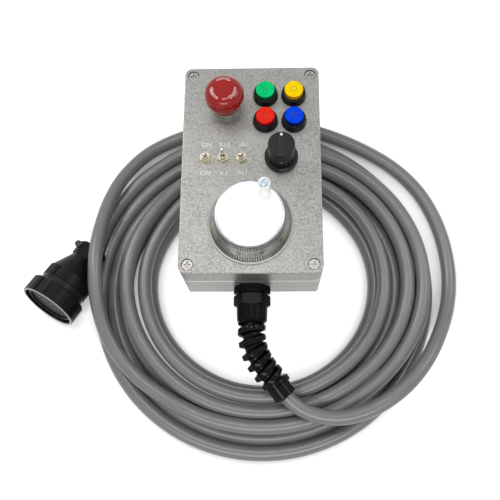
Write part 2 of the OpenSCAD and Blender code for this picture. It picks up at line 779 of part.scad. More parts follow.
module wheel_flange() {
    color("silver") on_face(wheel_at) difference() {
        rotate_extrude() polygon([[0, 0], [flange_d / 2, 0], [flange_d / 2, flange_t - 0.5],
            [flange_d / 2 - 0.5, flange_t], [0, flange_t]]);
        translate([0, 0, -1]) cylinder(h = flange_t + 2, d = hub_d);
        encoder_screw_places() translate([0, 0, -1])
            cylinder(h = flange_t + 0.6, d = encoder_screw_d + 2 * seat_gap);
    }
}

module handwheel() {
    hollow_top = cone_top - wheel_wall + 0.6;
    color("whitesmoke") on_face(wheel_at) difference() {
        rotate_extrude() polygon(concat(
            [[0, cone_foot], [cone_d / 2, cone_foot], [cone_d / 2, cone_foot + 0.8], [cone_top_d / 2, cone_top],
             [disc_d / 2 - 1, cone_top], [disc_d / 2 - 1, cone_top + groove_h],
             [disc_d / 2, cone_top + groove_h]],
            arc([disc_d / 2 - 1, wheel_h - 1], 1, 0, 90, 5), [[0, wheel_h]]));
        rotate_extrude() polygon([[hub_d / 2, cone_foot - 1], [cone_d / 2 - wheel_wall, cone_foot - 1],
            [cone_d / 2 - wheel_wall, cone_foot + 0.8], [cone_top_d / 2 - wheel_wall, hollow_top],
            [hub_d / 2, hollow_top]]);
        cylinder(h = cone_top, d = wheel_shaft_d + 2 * seat_gap);
        translate([handle_at[0], handle_at[1], cone_top])
            cylinder(h = wheel_h, d = handle_screw_d + 2 * seat_gap);
    }
}

module wheel_shaft() {
    foot = -encoder_depth;
    color("lightgray") on_face(wheel_at) translate([0, 0, foot])
        cylinder(h = cone_top - pass_gap - foot, d = wheel_shaft_d);
}

module wheel_handle() {
    top_d = handle_d - 0.6;
    color("whitesmoke") on_face(wheel_at + handle_at) translate([0, 0, wheel_h]) difference() {
        translate([0, 0, pass_gap]) rotate_extrude() polygon(concat(
            [[0, 0], [handle_d / 2 - 0.4, 0], [handle_d / 2, 0.4], [handle_d / 2 - 0.9, handle_h * 0.45]],
            arc([top_d / 2 - 0.6, handle_h - pass_gap - 0.6], 0.6, 0, 90, 4), [[0, handle_h - pass_gap]]));
        cylinder(h = handle_h + 1, d = handle_screw_d + 2 * run_gap);
        translate([0, 0, handle_h - handle_bore_step]) cylinder(h = handle_h, d = handle_head_d + 2 * run_gap);
    }
}

module handle_screw() {
    seat = wheel_h - cone_top;
    head_h = handle_bore_step - pass_gap - 0.2;
    color("lightsteelblue") on_face(wheel_at + handle_at) translate([0, 0, cone_top]) difference() {
        union() {
            cylinder(h = seat + handle_h - handle_bore_step + pass_gap, d = handle_screw_d);
            translate([0, 0, seat + handle_h - handle_bore_step + pass_gap])
                cylinder(h = head_h, d = handle_head_d);
        }
        translate([0, 0, seat + handle_h]) for (turn = [0, 90]) rotate([0, 0, turn])
            cube([handle_head_d * cross_share, cross_w, 2 * cross_deep], center = true);
    }
}

module encoder_body() {
    color("dimgray") on_face(wheel_at) difference() {
        union() {
            translate([0, 0, panel_back - encoder_depth])
                cylinder(h = encoder_depth + panel_t, d = encoder_d);
            translate([0, encoder_plug_w, panel_back - encoder_depth])
                cube([encoder_plug_l, encoder_plug_w, 2 * encoder_plug_h], center = true);
        }
        translate([0, 0, -encoder_depth - pass_gap])
            cylinder(h = encoder_depth + 2, d = wheel_shaft_d + 2 * run_gap);
    }
}

module encoder_screws() {
    head_h = 2;
    color("gainsboro") on_face(wheel_at) encoder_screw_places() {
        translate([0, 0, panel_back]) cylinder(h = panel_t + flange_t - 0.6, d = encoder_screw_d);
        translate([0, 0, panel_back - head_h]) cylinder(h = head_h, d = encoder_screw_d * 1.8);
    }
}

// Cable gland
module gland_body() {
    thread_in = locknut_at + locknut_t + 1;
    color([0.08, 0.08, 0.09]) along_gland() difference() {
        union() {
            hex(gland_af, gland_hex_t);
            translate([0, 0, -thread_in]) cylinder(h = thread_in + 1, d = gland_d);
            cylinder(h = gland_hex_t + gland_neck + gland_nut_t, d = gland_d - 1);
        }
        translate([0, 0, -thread_in - 1]) cylinder(h = gland_mouth + thread_in, d = gland_bore);
        cylinder(h = gland_mouth, d = seal_d + 2 * seat_gap);
    }
}

module gland_nut() {
    foot = gland_hex_t + gland_neck;
    inside = foot + gland_nut_t + seat_gap;
    color([0.08, 0.08, 0.09]) along_gland() difference() {
        union() {
            translate([0, 0, foot]) intersection() {
                hex(gland_af, gland_nut_t);
                rotate_extrude() polygon([[0, 0], [gland_af / 2, 0], [gland_af * 0.6, 1],
                    [gland_af * 0.6, gland_nut_t - 1.4], [gland_af / 2, gland_nut_t], [0, gland_nut_t]]);
            }
            translate([0, 0, foot + gland_nut_t - 1]) rotate_extrude() polygon([[0, 0], [gland_af / 2 - 0.3, 0],
                [gland_af / 2 - 0.7, gland_barrel_l - 1], [gland_af / 2 - 2.6, gland_barrel_l + 1],
                [0, gland_barrel_l + 1]]);
        }
        translate([0, 0, foot - 1]) cylinder(h = inside - foot + 1, d = gland_d - 1 + 2 * seat_gap);
        cylinder(h = gland_mouth + 1, d = gland_bore);
    }
}

module gland_locknut() {
    color([0.08, 0.08, 0.09]) along_gland() translate([0, 0, -locknut_at - locknut_t]) difference() {
        hex(locknut_af, locknut_t);
        translate([0, 0, -1]) cylinder(h = locknut_t + 2, d = gland_d + 2 * seat_gap);
    }
}

module gland_seal() {
    color("dimgray") along_gland() tube(seal_d, cable_d + 2 * seat_gap, gland_hex_t + gland_neck + gland_nut_t);
}

// Spiral strain relief: a sleeve with a helical rib, ending in a collar around the cable
module strain_relief() {
    lead = [for (p = lead_route) cord_zero + p];
    heading = heading_at(lead, 0);
    mouth = [0, gland_y - gland_mouth - hole_gap, gland_z];
    end = lead[0] - pass_gap * heading;
    foot = end - collar_l * heading;
    way = foot - mouth;
    bend = [for (p = sleeve_bend) mouth + [p[0] * way[0], p[1] * way[1], p[2] * way[2]]];
    route = concat([2 * mouth - bend[1]], bend, [end, 2 * end - foot]);
    spans = len(route) - 3;
    bend_l = route_length(bend);
    steps = 76;
    sides = 24;
    rib_drop = 1.6;
    function rib(s, j) = let (f = s / spiral_pitch + j / sides, u = abs(2 * (f - floor(f)) - 1))
        min(max((u - 0.2) / 0.3, 0), 1);
    function radius(u, j) = u > 1 ? collar_d / 2
        : (sleeve_d + rib(u * bend_l, j) * (spiral_d - sleeve_d - rib_drop * u)) / 2;
    color([0.08, 0.08, 0.09]) skin([for (i = [0 : steps]) let (u = i / steps * spans / (spans - 1))
        ring_at(route, 1 + spans * i / steps, [for (j = [0 : sides - 1]) radius(u, j)])]);
}

module cable_tail() {
    color("slategray") along_gland() translate([0, 0, -tail_in])
        cylinder(h = tail_in + gland_mouth, d = cable_d);
}

// Cable, coil and plug
module cable_lead() {
    color("slategray") cable_tube([for (p = lead_route) cord_zero + p], 46);
}

module cable_coil() {
    width = coil_out_r - coil_in_r;
    r = cable_d / 2;
    color("slategray") difference() {
        translate(coil_at) rotate_extrude()
            translate([coil_in_r + width / 2, coil_h / 2]) rounded_rect(width, coil_h, r);
        along_plug() translate([0, 0, -plug_l - 6]) cylinder(h = plug_l, d = backshell_d + 2 * pass_gap);
    }
}

module plug_lead() {
    heel = plug_tail - 4 * plug_dir;
    color("slategray") cable_tube(concat([plug_tail, heel], [for (p = plug_route) cord_zero + p]), 8);
}

module plug_coupling_ring() {
    r = ring_d / 2;
    grooves = 16;
    color([0.1, 0.1, 0.11]) along_plug() difference() {
        translate([0, 0, -ring_l]) rotate_extrude() polygon([[0, 0], [r - 1, 0], [r, 1], [r, ring_l - 0.6],
            [r - 0.6, ring_l], [0, ring_l]]);
        translate([0, 0, ring_lip - ring_l]) cylinder(h = ring_l, d = ring_d - 2 * ring_wall);
        translate([0, 0, -ring_l - 1]) cylinder(h = ring_l, r = shell_neck_r + run_gap);
        for (i = [0 : grooves - 1]) rotate([0, 0, i * 360 / grooves])
            translate([r, 0, -ring_l / 2 - 1]) cube([1.4, 1.3, ring_l - 1], center = true);
    }
}

module plug_shell() {
    step = ring_l - ring_lip - pass_gap;
    color([0.12, 0.12, 0.13]) along_plug() difference() {
        rotate_extrude() polygon([[0, -backshell_at], [shell_d / 2, -backshell_at], [shell_d / 2, -shell_back],
            [shell_neck_r, -shell_back], [shell_neck_r, -step], [shell_d / 2, -step],
            [shell_d / 2, -shell_set_back], [0, -shell_set_back]]);
        translate([0, 0, -face_recess - insert_t]) cylinder(h = 2 * ring_l, r = insert_r + seat_gap);
        translate([0, 0, -2 * ring_l]) cylinder(h = 2 * ring_l, d = wire_bore);
    }
}

module plug_insert() {
    color([0.16, 0.16, 0.17]) along_plug() translate([0, 0, -face_recess - insert_t]) difference() {
        cylinder(h = insert_t, r = insert_r);
        for (i = [-4 : 4], j = [-4 : 4]) let (x = pin_pitch * (i + j / 2), y = pin_pitch * 0.866 * j)
            if (norm([x, y]) < insert_r - 1.6) translate([x, y, insert_t - 2]) cylinder(h = 3, d = 1.8);
    }
}

module plug_backshell() {
    ribs = 12;
    r = backshell_d / 2;
    cone_r = r - 0.8;
    tail_r = clamp_d / 2 - 0.9;
    color([0.1, 0.1, 0.11]) along_plug() difference() {
        translate([0, 0, -clamp_at]) rotate_extrude() polygon([[0, 0], [tail_r, 0], [cone_r, backcone_l],
            [r, backcone_l + 0.6], [r, backcone_l + backshell_l - 0.6], [r - 0.6, backcone_l + backshell_l],
            [0, backcone_l + backshell_l]]);
        translate([0, 0, -backshell_at - backshell_l - 2])
            cylinder(h = backshell_l + 3, d = backshell_d - 8);
        translate([0, 0, -clamp_at - 1]) cylinder(h = clamp_at, d = cable_d + 2);
        for (i = [0 : ribs - 1]) rotate([0, 0, (i + 0.5) * 360 / ribs])
            translate([r, 0, -backshell_at - backshell_l / 2 - 0.4]) cube([1.2, 2, backshell_l], center = true);
    }
}

module plug_clamp() {
    saddle_w = clamp_d - 4;
    color([0.1, 0.1, 0.11]) along_plug() difference() {
        translate([0, 0, -plug_l]) intersection() {
            rotate_extrude() polygon([[0, 0], [clamp_d / 2 - 1.2, 0], [clamp_d / 2, 1.2],
                [clamp_d / 2, clamp_l - 2.6], [clamp_d / 2 - 1.6, clamp_l - 1.6], [clamp_d / 2 - 1.6, clamp_l],
                [0, clamp_l]]);
            translate([0, 0, clamp_l / 2]) cube([saddle_w, clamp_d + 1, clamp_l + 1], center = true);
        }
        translate([0, 0, -plug_l - 1]) cylinder(h = clamp_l + 2, d = cable_d + 2 * seat_gap);
        clamp_screw_places() translate([0, 0, -saddle_w])
            cylinder(h = 2 * saddle_w, d = clamp_screw_d + 2 * seat_gap);
        translate([0, 0, -plug_l - 1]) linear_extrude(clamp_l - 2) difference() {
            square([1, clamp_d + 2], center = true);
            square([2, cable_d], center = true);
        }
    }
}

module clamp_screw_places() {
    for (s = [-1, 1]) translate([0, s * (clamp_d / 2 + cable_d / 2) / 2, -plug_l + clamp_l * 0.42])
        rotate([0, -90, 0]) children();
}

module plug_clamp_screws() {
    saddle_w = clamp_d - 4;
    color("gray") along_plug() clamp_screw_places() {
        translate([0, 0, -saddle_w / 2]) cylinder(h = saddle_w, d = clamp_screw_d);
        translate([0, 0, saddle_w / 2]) cylinder(h = clamp_head_h, d = clamp_head_d);
    }
}

base_box();
cover();
cover_gasket();
cover_screws();
estop_head();
estop_stem();
estop_collar();
estop_seal();
estop_nut();
estop_contact_block();
button_cap(green_at, "green");  // green_cap
button_cap(yellow_at, "gold");  // yellow_cap
button_cap(red_at, "red");  // red_cap
button_cap(blue_at, "mediumblue");  // blue_cap
button_bezel(green_at);  // green_bezel
button_bezel(yellow_at);  // yellow_bezel
button_bezel(red_at);  // red_bezel
button_bezel(blue_at);  // blue_bezel
button_nuts();
contact_block(green_at);  // green_contact_block
contact_block(yellow_at);  // yellow_contact_block
contact_block(red_at);  // red_contact_block
contact_block(blue_at);  // blue_contact_block
toggle_lever(toggles_at[0], lever_lean);  // left_toggle_lever
toggle_lever(toggles_at[1], -lever_lean);  // middle_toggle_lever
toggle_lever(toggles_at[2], lever_lean);  // right_toggle_lever
toggle_body(toggles_at[0]);  // left_toggle_body
toggle_body(toggles_at[1]);  // middle_toggle_body
toggle_body(toggles_at[2]);  // right_toggle_body
toggle_nuts();
toggle_washers();
selector_knob();
knob_pointer();
knob_set_screw();
selector_shaft();
selector_nut();
selector_body();
wheel_flange();
handwheel();
wheel_shaft();
wheel_handle();
handle_screw();
encoder_body();
encoder_screws();
gland_body();
gland_nut();
gland_locknut();
gland_seal();
strain_relief();
cable_tail();
cable_lead();
cable_coil();
plug_lead();
plug_coupling_ring();
plug_shell();
plug_insert();
plug_backshell();
plug_clamp();
plug_clamp_screws();
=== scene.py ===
import json
import math

import bpy
from mathutils import Matrix, Vector

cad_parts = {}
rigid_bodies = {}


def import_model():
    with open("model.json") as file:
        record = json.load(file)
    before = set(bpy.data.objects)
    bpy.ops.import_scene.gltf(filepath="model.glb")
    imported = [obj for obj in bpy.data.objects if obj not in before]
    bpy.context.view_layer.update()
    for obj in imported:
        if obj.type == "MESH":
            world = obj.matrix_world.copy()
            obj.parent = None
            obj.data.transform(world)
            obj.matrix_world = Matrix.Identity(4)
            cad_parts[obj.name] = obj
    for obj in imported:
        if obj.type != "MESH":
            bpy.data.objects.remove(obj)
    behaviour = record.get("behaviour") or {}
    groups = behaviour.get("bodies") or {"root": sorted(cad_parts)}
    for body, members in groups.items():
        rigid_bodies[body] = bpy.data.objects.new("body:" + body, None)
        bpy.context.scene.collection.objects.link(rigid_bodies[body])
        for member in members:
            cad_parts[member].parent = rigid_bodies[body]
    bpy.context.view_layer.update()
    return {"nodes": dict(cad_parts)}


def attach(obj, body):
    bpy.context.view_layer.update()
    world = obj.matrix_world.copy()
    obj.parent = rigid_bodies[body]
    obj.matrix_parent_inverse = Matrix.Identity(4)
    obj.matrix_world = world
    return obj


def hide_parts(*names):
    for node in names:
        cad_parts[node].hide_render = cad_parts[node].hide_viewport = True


for left_over in list(bpy.data.objects):
    bpy.data.objects.remove(left_over)
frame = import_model()
cad = frame["nodes"]
scene = bpy.context.scene

# The table under the station is a white sheet, lit by one long soft lamp ahead, one above
# and two at the sides. The camera stands above the cable end of the box and looks down on it.
mm = 0.001
table_z = -69.5 * mm
camera = bpy.data.objects.new("camera", bpy.data.cameras.new("camera"))
camera.data.lens = 48.72
camera.data.sensor_width = 36
camera.location = (0.016967, -0.202885, 0.455620)
camera.rotation_mode = "ZYX"
camera.rotation_euler = (0.30517, 0.03720, -0.00451)
scene.collection.objects.link(camera)
scene.camera = camera
scene.view_settings.view_transform = "Standard"


def soft_lamp(name, place, wide, high, watts):
    """A rectangular area lamp that faces the box."""
    data = bpy.data.lights.new(name, "AREA")
    data.shape = "RECTANGLE"
    data.size, data.size_y = wide, high
    data.energy = watts
    lamp = bpy.data.objects.new(name, data)
    lamp.location = place
    lamp.rotation_euler = (-Vector(place)).to_track_quat("-Z", "Y").to_euler()
    scene.collection.objects.link(lamp)


soft_lamp("lamp_ahead", (0.02, -0.75, 0.68), wide=1.1, high=0.20, watts=5.2)
soft_lamp("lamp_above", (-0.04, 0.16, 1.06), wide=0.18, high=0.18, watts=1.4)
soft_lamp("lamp_left", (-0.65, 0.45, 0.85), wide=0.45, high=0.45, watts=4.5)
soft_lamp("lamp_right", (0.75, 0.25, 0.80), wide=0.5, high=0.5, watts=2.5)


def shade(tree, kind, **sockets):
    """A new shader node of this kind, with its sockets set or linked by name."""
    made = tree.nodes.new("ShaderNode" + kind)
    for name, value in sockets.items():
        socket = made.inputs[name.replace("_", " ")]
        if isinstance(value, bpy.types.NodeSocket):
            tree.links.new(value, socket)
        else:
            socket.default_value = value
    return made


def reckon(tree, operation, *terms):
    """The output of a math node on values or sockets."""
    made = tree.nodes.new("ShaderNodeMath")
    made.operation = operation
    for socket, term in zip(made.inputs, terms):
        if isinstance(term, bpy.types.NodeSocket):
            tree.links.new(term, socket)
        else:
            socket.default_value = term
    return made.outputs[0]


def white_to_the_eye(tree):
    """One for the three kinds of ray that should find a plain white background."""
    rays = shade(tree, "LightPath").outputs
    seen = reckon(tree, "MAXIMUM", rays["Is Camera Ray"], rays["Is Glossy Ray"])
    return reckon(tree, "MAXIMUM", seen, rays["Is Transmission Ray"])


room = bpy.data.worlds.new("room")
room.use_nodes = True
scene.world = room
air = room.node_tree
sky = air.nodes["Background"]
sky.inputs["Color"].default_value = (1, 1, 1, 1)
sky.inputs["Strength"].default_value = 0.22
seen_sky = shade(air, "Background", Color=(1, 1, 1, 1), Strength=1.0)
both = shade(air, "MixShader", Fac=white_to_the_eye(air))
air.links.new(sky.outputs[0], both.inputs[1])
air.links.new(seen_sky.outputs[0], both.inputs[2])
air.links.new(both.outputs[0], air.nodes["World Output"].inputs[0])

sheet = bpy.data.meshes.new("table")
far = 4
table_corners = [(-far, -far, table_z), (far, -far, table_z), (far, far, table_z), (-far, far, table_z)]
sheet.from_pydata(table_corners, [], [(0, 1, 2, 3)])
table = bpy.data.objects.new("table", sheet)
scene.collection.objects.link(table)
paper = bpy.data.materials.new("white_paper")
paper.use_nodes = True
paper_shader = paper.node_tree.nodes["Principled BSDF"]
paper_shader.inputs["Base Color"].default_value = (0.62, 0.62, 0.62, 1)
paper_shader.inputs["Roughness"].default_value = 0.9
paper_shader.inputs["Specular IOR Level"].default_value = 0.1
paper_shader.inputs["Emission Color"].default_value = (1, 1, 1, 1)
# The floor's glow is multiplied by ambient occlusion, so it is darker in the gaps between strands and
# beside the parts: a painted shadow.
gap_reach, glow_strength = 12 * mm, 0.78
painted_gap_shadow = shade(paper.node_tree, "AmbientOcclusion", Distance=gap_reach).outputs["AO"]
paper_glow = reckon(paper.node_tree, "MULTIPLY", white_to_the_eye(paper.node_tree), glow_strength)
paper_glow = reckon(paper.node_tree, "MULTIPLY", paper_glow, painted_gap_shadow)
paper.node_tree.links.new(paper_glow, paper_shader.inputs["Emission Strength"])
sheet.materials.append(paper)

# The enclosure is two raw die-cast aluminium halves with a rubber cord seal between them.
# The castings are unpainted and mottled, with drawn streaks on the walls and a bright band at the seam
# that is a painted highlight on its lip.
face_z = 12.5 * mm
rim_z = -7.5 * mm


def finish(name, pale, dark, grain, rough, metal=0.0, bump=0.05, bump_grain=None, shine=0.5,
           low=0.35, high=0.65):
    """A surface whose colour, gloss and bumps all vary with noise on the piece's own place."""
    material = bpy.data.materials.new(name)
    material.use_nodes = True
    tree = material.node_tree
    shader = tree.nodes["Principled BSDF"]
    place = shade(tree, "TexCoord").outputs["Object"]
    cloud = shade(tree, "TexNoise", Vector=place, Scale=grain, Detail=6, Roughness=0.6).outputs[0]
    tone = shade(tree, "ValToRGB", Fac=cloud)
    for end, spot, colour in zip(tone.color_ramp.elements, (low, high), (dark, pale)):
        end.position = spot
        end.color = (*colour, 1)
    gloss = shade(tree, "MapRange", Value=cloud, To_Min=rough * 0.8, To_Max=min(1, rough * 1.2))
    fine = shade(tree, "TexNoise", Vector=place, Scale=bump_grain or grain * 6, Detail=3).outputs[0]
    relief = shade(tree, "Bump", Strength=bump, Distance=0.2 * mm, Height=fine)
    tree.links.new(tone.outputs[0], shader.inputs["Base Color"])
    tree.links.new(gloss.outputs[0], shader.inputs["Roughness"])
    tree.links.new(relief.outputs[0], shader.inputs["Normal"])
    shader.inputs["Metallic"].default_value = metal
    shader.inputs["Specular IOR Level"].default_value = shine
    return material


def paint_over(material, mask, colour):
    """Lays another colour over a finish where the mask is one."""
    tree = material.node_tree
    target = tree.nodes["Principled BSDF"].inputs["Base Color"]
    mix = tree.nodes.new("ShaderNodeMix")
    mix.data_type = "RGBA"
    tree.links.new(mask, mix.inputs[0])
    tree.links.new(target.links[0].from_socket, mix.inputs[6])
    mix.inputs[7].default_value = (*colour, 1)
    tree.links.new(mix.outputs[2], target)


def along(material, direction, zero):
    """How far a point lies along a direction from a zero point, in the piece's own place."""
    tree = material.node_tree
    place = shade(tree, "TexCoord").outputs["Object"]
    made = tree.nodes.new("ShaderNodeVectorMath")
    made.operation = "DOT_PRODUCT"
    tree.links.new(place, made.inputs[0])
    made.inputs[1].default_value = direction
    return reckon(tree, "SUBTRACT", made.outputs["Value"], Vector(zero).dot(Vector(direction)))


def height(material, level):
    """How far a point lies above a level, in the piece's own place."""
    return along(material, (0, 0, 1), (0, 0, level))


def dress(material, slot, *names):
    """These CAD nodes show in this finish."""
    for name in names:
        piece = cad[name]
        piece.data.materials.clear()
        piece.data.materials.append(material)


cast = finish("cast_aluminium", (0.325, 0.325, 0.305), (0.14, 0.14, 0.131), grain=660, rough=0.37,
              metal=0.7, bump=0.3, bump_grain=1900, low=0.37, high=0.63)
cast_tree = cast.node_tree
cast_place = shade(cast_tree, "TexCoord").outputs["Object"]
stretch = shade(cast_tree, "Mapping", Vector=cast_place, Scale=(5, 5, 1100)).outputs[0]
streaks = shade(cast_tree, "TexNoise", Vector=stretch, Scale=1.0, Detail=4).outputs[0]
streaks = shade(cast_tree, "MapRange", Value=streaks, From_Min=0.4, From_Max=0.8, To_Max=0.6)
paint_over(cast, streaks.outputs[0], (0.44, 0.44, 0.414))
blots = shade(cast_tree, "TexNoise", Vector=cast_place, Scale=60, Detail=6).outputs[0]
blots = shade(cast_tree, "MapRange", Value=blots, From_Min=0.5, From_Max=0.7, To_Max=0.45)
paint_over(cast, blots.outputs[0], (0.34, 0.34, 0.32))
# The pale band round the seam is a painted highlight on the lip there.
seam_mid, seam_half = -0.8 * mm, 0.7 * mm
painted_seam_highlight = reckon(cast_tree, "COMPARE", height(cast, rim_z), seam_mid, seam_half)
paint_over(cast, painted_seam_highlight, (0.88, 0.88, 0.86))
joint_mid, joint_half = 0.25 * mm, 0.3 * mm
joint_line = reckon(cast_tree, "COMPARE", height(cast, rim_z), joint_mid, joint_half)
paint_over(cast, joint_line, (0.10, 0.10, 0.10))
dress(cast, "cast_aluminium", "base_box", "cover")
seal_rubber = finish("seal_rubber", (0.05, 0.05, 0.05), (0.02, 0.02, 0.02), grain=300, rough=0.7,
                     bump=0.1)
dress(seal_rubber, "seal_rubber", "cover_gasket")

# The switch positions are engraved in the cover over and under the toggles, and the cuts
# are filled with pale paint.
label_high, label_thick = 4.5 * mm, 0.02 * mm
label_rows = [("ON", -32.2, 16.6), ("X10", -19.4, 16.6), (".01", -5.4, 16.6),
              ("OFF", -32.4, -5.8), ("X1", -19.6, -5.8), (".001", -6.6, -5.8)]


def piece_of(name, points, faces, material, body, slot):
    """A finished mesh in its place that rides on a body."""
    mesh = bpy.data.meshes.new(name)
    mesh.from_pydata([tuple(p) for p in points], [], faces)
    mesh.materials.append(material)
    piece = bpy.data.objects.new(name, mesh)
    scene.collection.objects.link(piece)
    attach(piece, body)
    return piece


def lettering(words, high, thick, place):
    """The points and faces of a word, centred, thick along its own Z and set by a matrix."""
    data = bpy.data.curves.new("word", "FONT")
    data.body = words
    data.size = high
    data.align_x, data.align_y = "CENTER", "CENTER"
    data.extrude = thick
    data.resolution_u = 3
    data.space_character = 1.1
    data.offset = 0.006 * high
    word = bpy.data.objects.new("word", data)
    scene.collection.objects.link(word)
    mesh = bpy.data.meshes.new_from_object(word.evaluated_get(bpy.context.evaluated_depsgraph_get()))
    points = [place @ v.co for v in mesh.vertices]
    faces = [tuple(f.vertices) for f in mesh.polygons]
    bpy.data.objects.remove(word)
    return points, faces


label_points, label_faces = [], []
for words, x, y in label_rows:
    at = Matrix.Translation((x * mm, y * mm, face_z + label_thick))
    points, faces = lettering(words, label_high, label_thick, at)
    label_faces += [tuple(k + len(label_points) for k in f) for f in faces]
    label_points += points
label_paint = finish("label_paint", (0.84, 0.84, 0.83), (0.66, 0.66, 0.65), grain=900, rough=0.5,
                     bump=0.1)
piece_of("switch_labels", label_points, label_faces, label_paint, "housing", "white_mark")

# Four cross-head steel screws hold the cover on the base's corner posts. Each head is sunk
# in a corner of the cover.
screw_steel = finish("screw_steel", (0.44, 0.42, 0.385), (0.22, 0.21, 0.19), grain=700, rough=0.36,
                     metal=0.9, bump=0.15)
dress(screw_steel, "steel", "cover_screws")

# The emergency stop has a glossy moulded mushroom head on a stem, with three outlined
# arrows printed round its top. A bright collar, a seal, a nut and a contact block hold it.
estop_at = Vector((-19, 47.8)) * mm
estop_top = face_z + 25 * mm
estop_r = 14.2 * mm
crown_r = 8 * mm
estop_red = finish("estop_red", (0.34, 0.009, 0.006), (0.28, 0.006, 0.004), grain=120, rough=0.10,
                   bump=0.006, bump_grain=900, shine=0.30)
head_height = height(estop_red, face_z)
# The head is painted a darker red lower down: a painted shade on its underside and neck.
shade_from, shade_to = 15 * mm, 8 * mm
painted_underside_shade = shade(estop_red.node_tree, "MapRange", Value=head_height, From_Min=shade_from,
                  From_Max=shade_to)
paint_over(estop_red, painted_underside_shade.outputs[0], (0.13, 0.003, 0.004))
ring_high, ring_half = 6.4 * mm, 0.3 * mm
head_ring = reckon(estop_red.node_tree, "COMPARE", head_height, ring_high, ring_half)
paint_over(estop_red, head_ring, (0.46, 0.06, 0.05))
dress(estop_red, "red_head", "estop_head")
bright_metal = finish("bright_collar", (0.78, 0.78, 0.76), (0.58, 0.58, 0.56), grain=400,
                      rough=0.24, metal=1.0)
dress(bright_metal, "collar_silver", "estop_collar")
nut_metal = finish("nut_steel", (0.60, 0.60, 0.58), (0.42, 0.42, 0.40), grain=500, rough=0.35,
                   metal=1.0, bump=0.1)
dress(nut_metal, "nut_steel", "estop_stem", "estop_nut", "button_nuts")
dress(seal_rubber, "seal_rubber", "estop_seal")
switch_plastic = finish("switch_plastic", (0.10, 0.10, 0.105), (0.06, 0.06, 0.065), grain=300,
                        rough=0.45, bump=0.1)
dress(switch_plastic, "switch_body", "estop_contact_block")


def on_crown(p):
    """A point of a flat drawing about the head's axis, laid on its crowned top."""
    out = max(0, p.length - (estop_r - crown_r))
    drop = crown_r - math.sqrt(crown_r ** 2 - out ** 2)
    return Vector((estop_at.x + p.x, estop_at.y + p.y, estop_top - drop))


def line_round(outlines, width, lay, thick=0.04 * mm):
    """Points and faces of closed lines along the inside of anticlockwise flat outlines."""
    least_lean = 0.45
    points, faces = [], []
    for outline in outlines:
        first = len(points)
        count = len(outline)
        for i, p in enumerate(outline):
            before = (p - outline[i - 1]).normalized()
            after = (outline[(i + 1) % count] - p).normalized()
            inward = Vector((-before.y - after.y, before.x + after.x)).normalized()
            lean = max(least_lean, inward.dot(Vector((-before.y, before.x))))
            q = p + inward * (width / lean)
            up = Vector((0, 0, thick))
            points += [lay(p) + up, lay(q) + up, lay(q) - up, lay(p) - up]
        for i in range(count):
            a, b = first + 4 * i, first + 4 * ((i + 1) % count)
            faces += [(a + k, b + k, b + (k + 1) % 4, a + (k + 1) % 4) for k in range(4)]
    return points, faces


def polar(r, degrees):
    """A flat point at a radius and an angle."""
    return Vector((r * math.cos(math.radians(degrees)), r * math.sin(math.radians(degrees))))


arrow_in, arrow_out, arrow_barb, arrow_line = 7.6 * mm, 9.0 * mm, 0.75 * mm, 0.36 * mm
arrow_middles, to_tail, to_neck, to_tip = (88, 205, -30), 37, -20, -38
arrow_steps = 8
arrows = []
for middle in arrow_middles:
    tail, neck, tip = middle + to_tail, middle + to_neck, middle + to_tip
    sweep = [tail + (neck - tail) * k / arrow_steps for k in range(arrow_steps + 1)]
    arrows.append([polar(arrow_in, a) for a in sweep] + [polar(arrow_in - arrow_barb, neck)]
                  + [polar((arrow_in + arrow_out) / 2, tip)] + [polar(arrow_out + arrow_barb, neck)]
                  + [polar(arrow_out, a) for a in reversed(sweep)])
arrow_print = finish("arrow_print", (0.86, 0.74, 0.72), (0.70, 0.56, 0.55), grain=800, rough=0.4,
                     bump=0.03)
piece_of("estop_arrows", *line_round(arrows, arrow_line, on_crown), arrow_print, "estop_button",
         "white_mark")

# Each push-button is a clear-coloured moulded cap that slides in a black satin bezel,
# with a plain sign on its top. A ring nut and a contact block sit behind the cover.
cap_top = face_z + 10 * mm
# Each cap colour holds a pale and a dark tone of the plastic, and a much darker colour that is painted
# shade on the cap's sides.
cap_colours = {
    "green": ((0.003, 0.66, 0.20), (0.002, 0.54, 0.15), (0.003, 0.10, 0.040)),
    "yellow": ((1.0, 0.72, 0.004), (0.92, 0.60, 0.003), (0.52, 0.26, 0.006)),
    "red": ((0.88, 0.030, 0.014), (0.74, 0.020, 0.010), (0.34, 0.010, 0.008)),
    "blue": ((0.003, 0.066, 0.86), (0.002, 0.050, 0.70), (0.002, 0.014, 0.22)),
}
sign_line = 0.5 * mm
edge_from, edge_to = -0.35 * mm, -1.1 * mm
ink_pale, ink_dark = 0.45, 0.35


def oblong(middle, half, low, high):
    """The corners of an upright flat oblong, anticlockwise."""
    return [Vector((middle - half, low)), Vector((middle + half, low)),
            Vector((middle + half, high)), Vector((middle - half, high))]


